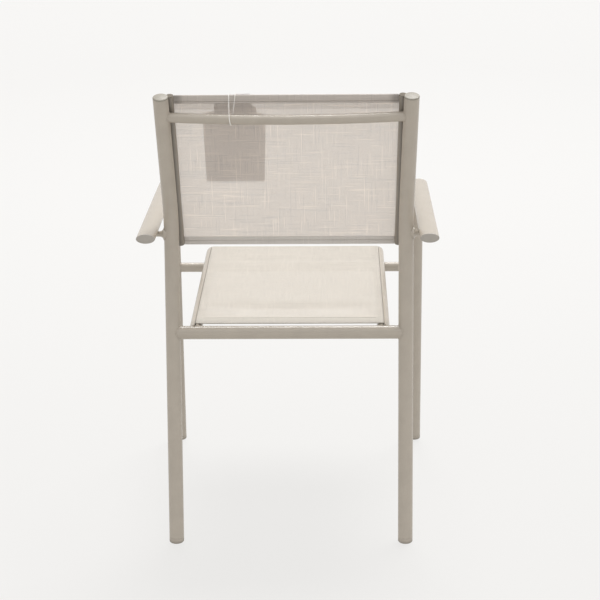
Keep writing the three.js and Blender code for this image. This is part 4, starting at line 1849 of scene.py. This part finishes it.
    def seam(self, name: str, path: list[Station], run: float, height: float, seed: int) -> bpy.types.Object:
        """Sew a row of stitches across the seat.

        Args:
            name: The piece's name.
            path: The path of the seat's middle line.
            run: Distance of the row along it.
            height: Height of the cloth over it.
            seed: Seed of the stitches' small differences.

        Returns:
            The stitches.
        """
        station = station_at(path, run)
        lift = station.tangent.cross(X_AXIS)
        half = self.plan.seat_spread - self.plan.seat_rail / 2 - self.seam_inset
        rise = height + self.hem_over * self.stitch_share
        ends = [station.point + X_AXIS * (s * half) + lift * rise for s in (-1, 1)]
        piece = SeamStitch().tree().run_on(line_object(name, ends, False), self.finishes.stitch, seed)
        declare(piece, self.finishes.stitch, Slot.SLING)
        return piece


def hem_swell(
    before: float,
    after: float,
    from_seam: float,
    edge: float = 0.0011,
    groove: float = 0.0014,
    pull: float = 0.8,
    least: float = 0.12,
) -> float:
    """Find how plump a folded hem is at a place across it.

    Args:
        before: Distance from its first edge.
        after: Distance from its last edge.
        from_seam: Distance from its seam.
        edge: Width of the rounding at each edge.
        groove: Half width of the groove that the seam pulls in.
        pull: Depth of the groove, as a share of the full thickness.
        least: The least that it gives back.

    Returns:
        Its thickness there over its full thickness.
    """
    near = min(1.0, max(0.0, min(before, after) / edge))
    rounding = math.sqrt(max(0.0, 1 - (1 - near) ** 2))
    pulled = pull * math.exp(-((from_seam / groove) ** 2))
    return max(least, rounding * (1 - pulled))


def lay_uv(piece: bpy.types.Object, place: Callable[[Vector], tuple[float, float]]) -> None:
    """Give a piece a UV map in metres.

    Args:
        piece: The piece.
        place: Turns the place of a point into its place on the cloth.
    """
    layer = piece.data.uv_layers.new(name="cloth")
    for loop in piece.data.loops:
        layer.data[loop.index].uv = place(piece.data.vertices[loop.vertex_index].co)


@dataclass
class BackSling:
    """Mesh cloth between the back rails, with a folded hem along the top and the bottom."""

    plan: Plan
    finishes: Finishes
    top_hem: float = 0.015
    top_rise: float = 0.0021
    low_hem: float = 0.0155
    low_drop: float = 0.0017
    facing: float = 0.012
    facing_gap: float = 0.00047
    tongue: float = 0.0043
    hem_clear: float = 0.0005
    hem_front: float = 0.0018
    hem_rear: float = 0.0011
    hem_corner: float = 0.0001
    hem_corner_steps: int = 2
    hem_step: float = 0.0005
    top_seam_inset: float = 0.003
    low_seam_inset: float = 0.0085
    seam_end: float = 0.004
    stitch_share: float = 0.35
    cell: float = 0.006

    def build(self) -> None:
        """Make the sheet, its hems and its seams."""
        plan = self.plan
        low, top = -plan.back_rail_below + plan.fit, plan.rail_top - plan.fit
        sheet = self.panel("back_cloth", low, top, self.tongue, 0)
        declare(sheet, self.finishes.weave, Slot.SLING, ["back_sling"])
        top_seam = top - self.top_hem + self.top_seam_inset
        low_seam = low + self.low_hem - self.low_seam_inset
        fabric = self.finishes
        hems = [
            self.hem("back_hem_top", top - self.top_hem, top + self.top_rise, top_seam, fabric.top_hem),
            self.hem("back_hem_low", low - self.low_drop, low + self.low_hem, low_seam, fabric.low_hem),
            self.lining("back_hem_allowance", top - self.top_hem - self.facing, top - self.top_hem),
        ]
        seams = [
            self.seam("back_stitches_top", top_seam, 21),
            self.seam("back_stitches_low", low_seam, 22),
        ]
        width = 2 * (plan.rail_spread((low + top) / 2) - self.tongue)

    def panel(self, name: str, low: float, high: float, inset: float, front: float) -> bpy.types.Object:
        """Lay a closed thin panel of the cloth between the back rails.

        Args:
            name: The piece's name.
            low: Height up the back of its lower edge.
            high: Height up the back of its upper edge.
            inset: Distance of its side edges from the rails' middle lines.
            front: How far it lies in front of the sling's plane.

        Returns:
            The panel.
        """
        rows: list[list[Vector]] = []
        uvs: list[list[tuple[float, float]]] = []
        count = max(2, round((high - low) / self.cell))
        columns = round(2 * self.plan.rail_spread(0) / self.cell)
        for i in range(count + 1):
            along = low + (high - low) * i / count
            half = self.plan.rail_spread(along) - inset
            across = [half - 2 * half * j / columns for j in range(columns + 1)]
            rows.append([self.plan.sling_point(x, along, -front) for x in across])
            uvs.append([(x, along) for x in across])
        sheet = grid_sheet(name, rows, uvs)
        thicken(sheet, self.finishes.cloth_thickness)
        return sheet

    def lining(self, name: str, low: float, high: float) -> bpy.types.Object:
        """Lay the hem's allowance, the second layer of cloth that shows below the top hem.

        Args:
            name: The piece's name.
            low: Height up the back of its lower edge.
            high: Height up the back of its upper edge.

        Returns:
            The layer.
        """
        piece = self.panel(name, low, high, self.plan.back_rail / 2 + self.hem_clear, self.facing_gap)
        declare(piece, self.finishes.lining, Slot.SLING)
        return piece

    def hem(
        self, name: str, low: float, high: float, seam: float, cloth: bpy.types.Material
    ) -> bpy.types.Object:
        """Make a folded hem between the back rails, with a groove at its seam.

        Args:
            name: The piece's name.
            low: Height up the back of its lower edge.
            high: Height up the back of its upper edge.
            seam: Height up the back of its seam.
            cloth: Its finish.

        Returns:
            The hem.
        """
        plan = self.plan
        path = straight_path(plan.sling_point(0, low, 0), plan.sling_point(0, high, 0))
        reach = plan.back_rail / 2 + self.hem_clear

        def section(station: Station) -> list[Loop]:
            """Draw the fold between the rails.

            Args:
                station: A place up the hem.

            Returns:
                The outline there, as wide as the rails allow, thinner at the edges and the seam.
            """
            half = plan.rail_spread(low + station.run) - reach
            swell = hem_swell(station.run, high - low - station.run, abs(low + station.run - seam))
            rear, front = -self.hem_rear * swell, self.hem_front * swell
            return [rounded_rectangle(-half, half, rear, front, self.hem_corner, self.hem_corner_steps)]

        piece = sweep(name, stretch(path, 0, path[-1].run, self.hem_step), X_AXIS, section)
        lay_uv(piece, lambda p: (p.x, p.z))
        declare(piece, cloth, Slot.SLING)
        return piece

    def seam(self, name: str, along: float, seed: int) -> bpy.types.Object:
        """Sew a row of stitches across the back.

        Args:
            name: The piece's name.
            along: Height of the row up the back.
            seed: Seed of the stitches' small differences.

        Returns:
            The stitches.
        """
        half = self.plan.rail_spread(along) - self.plan.back_rail / 2 - self.seam_end
        ends = [self.plan.sling_point(s * half, along, self.hem_rear * self.stitch_share) for s in (-1, 1)]
        piece = SeamStitch().tree().run_on(line_object(name, ends, False), self.finishes.stitch, seed)
        declare(piece, self.finishes.stitch, Slot.SLING)
        return piece


@dataclass
class HangTag:
    """Blank hang tag in front of the back sling, and the string that loops it round the top rail."""

    plan: Plan
    finishes: Finishes
    width: float = 0.107
    height: float = 0.181
    thickness: float = 0.0006
    x: float = 0.0945
    rise: float = 0.0026
    corner: float = 0.0018
    hole: float = 0.004
    hole_aside: float = 0.0125
    hole_down: float = 0.015
    sling_front: float = 0.0018
    outline_shares: tuple[tuple[float, float], ...] = (
        (-0.48, 0),
        (0.525, 0),
        (0.54, 0.785),
        (0.34, 0.808),
        (0.325, 0.91),
        (0.2, 0.96),
        (-0.05, 1),
        (-0.28, 1),
        (-0.29, 0.88),
        (-0.37, 0.85),
        (-0.375, 0.79),
        (-0.53, 0.77),
    )
    string: float = 0.0014
    ply_share: float = 0.25
    ply_offset_share: float = 0.25
    ply_sides: int = 6
    twist_length: float = 0.0046
    route_steps: int = 16
    knot_share: float = 0.95
    knot_ply_share: float = 0.42
    knot_steps: int = 40
    route: tuple[tuple[float, float, float], ...] = (
        (0.0846, 0.236, -0.004),
        (0.095, 0.246, -0.004),
        (0.1016, 0.2508, -0.002),
        (0.103, 0.2509, 0.0006),
        (0.1029, 0.2484, 0.0034),
        (0.1016, 0.2222, 0.0322),
        (0.1006, 0.2145, 0.0356),
        (0.0996, 0.2066, 0.0325),
        (0.0986, 0.2034, 0.0254),
        (0.0977, 0.2064, 0.0178),
        (0.0969, 0.2115, 0.0149),
        (0.092, 0.2484, 0.0026),
        (0.0914, 0.2514, 0),
        (0.091, 0.2522, -0.0026),
        (0.0886, 0.2494, -0.0044),
        (0.0856, 0.244, -0.004),
        (0.0796, 0.2366, -0.004),
    )

    def build(self) -> None:
        """Make the string, and the card that hangs on it."""
        self.build_string()
        self.build_card()

    def build_string(self) -> None:
        """Lay three plies of thread round each other along the route, with a knot at the tag's hole."""
        points = [self.plan.sling_point(*place) for place in self.route]
        line = smooth_route(points, self.route_steps)
        shape = bmesh.new()
        radius, offset = self.string * self.ply_share, self.string * self.ply_offset_share
        for ply in range(3):
            self.ply(shape, line, radius, offset, self.twist_length, 2 * math.pi / 3 * ply)
        piece = object_from_bmesh("tag_string_twist", shape, SOFT_EDGE)
        declare(piece, self.finishes.string, Slot.STRING, ["tag_string"])
        knot = self.knot((line[0] + line[-1]) / 2)

    def ply(
        self,
        shape: bmesh.types.BMesh,
        line: list[Vector],
        radius: float,
        offset: float,
        lay: float,
        phase: float,
    ) -> None:
        """Sweep one ply of the string round its middle line.

        Args:
            shape: The bmesh that takes it.
            line: The string's middle line.
            radius: The ply's radius.
            offset: Its distance from the middle line.
            lay: Length of a full twist.
            phase: Where its twist starts.
        """
        sides, run = self.ply_sides, 0.0
        rings: list[list[bmesh.types.BMVert]] = []
        across = (line[1] - line[0]).orthogonal().normalized()
        for i, point in enumerate(line):
            tangent = (line[min(i + 1, len(line) - 1)] - line[max(i - 1, 0)]).normalized()
            across = (across - tangent * across.dot(tangent)).normalized()
            lift = tangent.cross(across)
            if i:
                run += (point - line[i - 1]).length
            twist = phase + 2 * math.pi * run / lay
            centre = point + across * (offset * math.cos(twist)) + lift * (offset * math.sin(twist))
            ring = [centre + across * x + lift * y for x, y in oval(radius, radius, sides)]
            rings.append([shape.verts.new(place) for place in ring])
        for a, b in zip(rings, rings[1:]):
            for k in range(sides):
                m = (k + 1) % sides
                shape.faces.new([a[k], a[m], b[m], b[k]])
        shape.faces.new(rings[0][::-1])
        shape.faces.new(rings[-1])

    def knot(self, place: Vector) -> bpy.types.Object:
        """Tie a small knot where the string's ends meet.

        Args:
            place: The knot's middle.

        Returns:
            The knot.
        """
        shape = bmesh.new()
        scale = self.string * self.knot_share / 3
        line: list[Vector] = []
        for k in range(self.knot_steps + 1):
            t = 2 * math.pi * k / self.knot_steps
            x, y = math.sin(t) + 2 * math.sin(2 * t), math.cos(t) - 2 * math.cos(2 * t)
            line.append(place + Vector((x, y, -math.sin(3 * t))) * scale)
        self.ply(shape, line, self.string * self.knot_ply_share, 0, 1, 0)
        piece = object_from_bmesh("tag_string_knot", shape, SOFT_EDGE)
        declare(piece, self.finishes.string, Slot.STRING)
        return piece

    def build_card(self) -> None:
        """Cut the card, with its hole, its neck and its rounded corners."""
        plan = self.plan
        top, low = plan.sling_point(0, plan.rail_top, 0), plan.sling_point(0, -plan.back_rail_below, 0)
        up = (top - low).normalized()
        out = X_AXIS.cross(up)
        bottom = plan.rail_top + self.rise - self.height
        origin = plan.sling_point(self.x, bottom, -self.sling_front - plan.fit)
        corners = [Vector((x * self.width, y * self.height)) for x, y in self.outline_shares]
        outline = round_corners(corners, self.corner, 5)
        centre = Vector((-self.hole_aside, self.height - self.hole_down))
        hole = [centre + Vector(p) for p in oval(self.hole / 2, self.hole / 2, 24)]
        piece = pierced_plate("tag_card_blank", outline, hole, self.thickness, origin, (X_AXIS, up, out))
        declare(piece, self.finishes.card, Slot.TAG, ["hang_tag"])


def round_corners(
    corners: Sequence[Vector], radius: float, steps: int, most: float = 0.4
) -> list[Vector]:
    """Round the corners of a flat outline.

    Args:
        corners: The outline's corners.
        radius: Corner radius, made smaller where the sides are short.
        steps: Steps round each corner.
        most: The most of a side that one corner may take, as a share.

    Returns:
        The rounded outline.
    """
    rounded: list[Vector] = []
    for i, corner in enumerate(corners):
        before = corners[i - 1] - corner
        after = corners[(i + 1) % len(corners)] - corner
        cut = min(radius, most * before.length, most * after.length)
        start, end = corner + before.normalized() * cut, corner + after.normalized() * cut
        for k in range(steps + 1):
            t = k / steps
            rounded.append(start * (1 - t) ** 2 + corner * (2 * t * (1 - t)) + end * t**2)
    return rounded


def pierced_plate(
    name: str,
    outline: Sequence[Vector],
    hole: Sequence[Vector],
    thickness: float,
    origin: Vector,
    axes: tuple[Vector, Vector, Vector],
) -> bpy.types.Object:
    """Make a thin plate with one hole.

    Args:
        name: The piece's name.
        outline: The outline in the plate's own plane.
        hole: The hole's outline.
        thickness: The plate's thickness.
        origin: Where the plane's origin lies.
        axes: The plane's two directions and the direction of the thickness.

    Returns:
        The plate.
    """
    shape = bmesh.new()
    loops = []
    for points in (outline, hole):
        verts = [shape.verts.new(origin + axes[0] * p.x + axes[1] * p.y) for p in points]
        loops.append([shape.edges.new((verts[k], verts[(k + 1) % len(verts)])) for k in range(len(verts))])
    bmesh.ops.triangle_fill(shape, use_beauty=True, edges=[e for loop in loops for e in loop])
    extruded = bmesh.ops.extrude_face_region(shape, geom=list(shape.faces))
    moved = [v for v in extruded["geom"] if isinstance(v, bmesh.types.BMVert)]
    bmesh.ops.translate(shape, verts=moved, vec=axes[2] * thickness)
    bmesh.ops.recalc_face_normals(shape, faces=shape.faces)
    return object_from_bmesh(name, shape, PLATE_EDGE)


@dataclass(frozen=True)
class Softbox:
    """A broad far light: the direction to it, its strength, and its angle across in degrees."""

    name: str
    towards: tuple[float, float, float]
    strength: float
    spread: float

    def build(self) -> None:
        """Add the light to the scene."""
        data = bpy.data.lights.new(self.name, "SUN")
        data.energy = self.strength
        data.angle = math.radians(self.spread)
        lamp = bpy.data.objects.new(self.name, data)
        lamp.rotation_mode = "QUATERNION"
        lamp.rotation_quaternion = Vector(self.towards).normalized().to_track_quat("Z", "Y")
        bpy.context.scene.collection.objects.link(lamp)


@dataclass(frozen=True)
class Studio:
    """Camera, floor and soft light."""

    plan: Plan
    target: tuple[float, float, float] = (-0.015768, 0.0, 0.398502)
    azimuth: float = 181.3136
    elevation: float = 17.4632
    roll: float = -0.57237
    distance: float = 3.37501
    focal_pixels: float = 1680.93
    image_pixels: float = 600
    sensor: float = 36
    clip_end: float = 100
    surround_colour: Colour = linear(250, 250, 252)
    surround_strength: float = 0.735
    softboxes: tuple[Softbox, ...] = (
        Softbox("overhead_softbox", (-0.12, -0.5, 1.0), 2.9, 30),
        Softbox("rear_softbox", (0.0, 0.6, 1.0), 0.5, 50),
        Softbox("side_softbox", (-1.0, 0.0, 0.4), 0.28, 40),
    )
    floor_reach: float = 14
    floor_sweep: float = 2.6
    floor_sides: int = 96
    floor_steps: int = 16

    def build(self) -> None:
        """Set up the whole studio."""
        self.camera()
        self.floor()
        self.lights()

    def camera(self) -> None:
        """Place the camera that was fitted to the photograph."""
        azimuth, elevation = math.radians(self.azimuth), math.radians(self.elevation)
        flat = math.cos(elevation)
        back = Vector((math.sin(azimuth) * flat, -math.cos(azimuth) * flat, math.sin(elevation)))
        right = (-back).cross(Z_AXIS).normalized()
        up = right.cross(-back)
        roll = math.radians(self.roll)
        turned_right = right * math.cos(roll) + up * math.sin(roll)
        turned_up = up * math.cos(roll) - right * math.sin(roll)
        lens = bpy.data.cameras.new("camera")
        lens.sensor_width = self.sensor
        lens.lens = self.focal_pixels * self.sensor / self.image_pixels
        lens.clip_end = self.clip_end
        camera = bpy.data.objects.new("camera", lens)
        bpy.context.scene.collection.objects.link(camera)
        place = Matrix((turned_right, turned_up, back)).transposed().to_4x4()
        place.translation = Vector(self.target) + Y_AXIS * self.plan.shift_y + back * self.distance
        camera.matrix_world = place
        bpy.context.scene.camera = camera

    def floor(self) -> None:
        """Lay the pale floor, which curves up far away as a studio sweep does."""
        shape = bmesh.new()
        middle = shape.verts.new((0, 0, 0))
        rings: list[list[bmesh.types.BMVert]] = []
        for step in range(self.floor_steps + 1):
            angle = math.pi / 2 * step / self.floor_steps
            radius = self.floor_reach - self.floor_sweep * (1 - math.sin(angle))
            height = self.floor_sweep * (1 - math.cos(angle))
            rings.append([shape.verts.new((x, y, height)) for x, y in oval(radius, radius, self.floor_sides)])
        for k in range(self.floor_sides):
            m = (k + 1) % self.floor_sides
            shape.faces.new([middle, rings[0][k], rings[0][m]])
            for a, b in zip(rings, rings[1:]):
                shape.faces.new([a[k], b[k], b[m], a[m]])
        floor = object_from_bmesh("floor", shape)
        floor.data.materials.append(StudioPaper().build())

    def lights(self) -> None:
        """Set a bright even surround and three broad lights: above, opposite the camera, and aside."""
        scene = bpy.context.scene
        scene.view_settings.view_transform = "Standard"
        world = bpy.data.worlds.new("studio")
        scene.world = world
        world.use_nodes = True
        surround = world.node_tree.nodes["Background"]
        surround.inputs["Color"].default_value = self.surround_colour
        surround.inputs["Strength"].default_value = self.surround_strength
        for softbox in self.softboxes:
            softbox.build()


def main() -> None:
    """Load the frame, set up the studio, and build the chair on it."""
    logging.basicConfig(level=logging.INFO, format="%(name)s: %(message)s")
    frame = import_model()
    plan = plan_from_frame()
    finishes = Finishes()
    nodes = frame["nodes"]
    Studio(plan).build()
    HangTag(plan, finishes).build()
    TubeFrame(plan, finishes, nodes).build()
    TubeEnds(plan, finishes, nodes).build()
    Keders(finishes, nodes).build()
    SeatSling(plan, finishes).build()
    BackSling(plan, finishes).build()


if __name__ == "__main__":
    main()
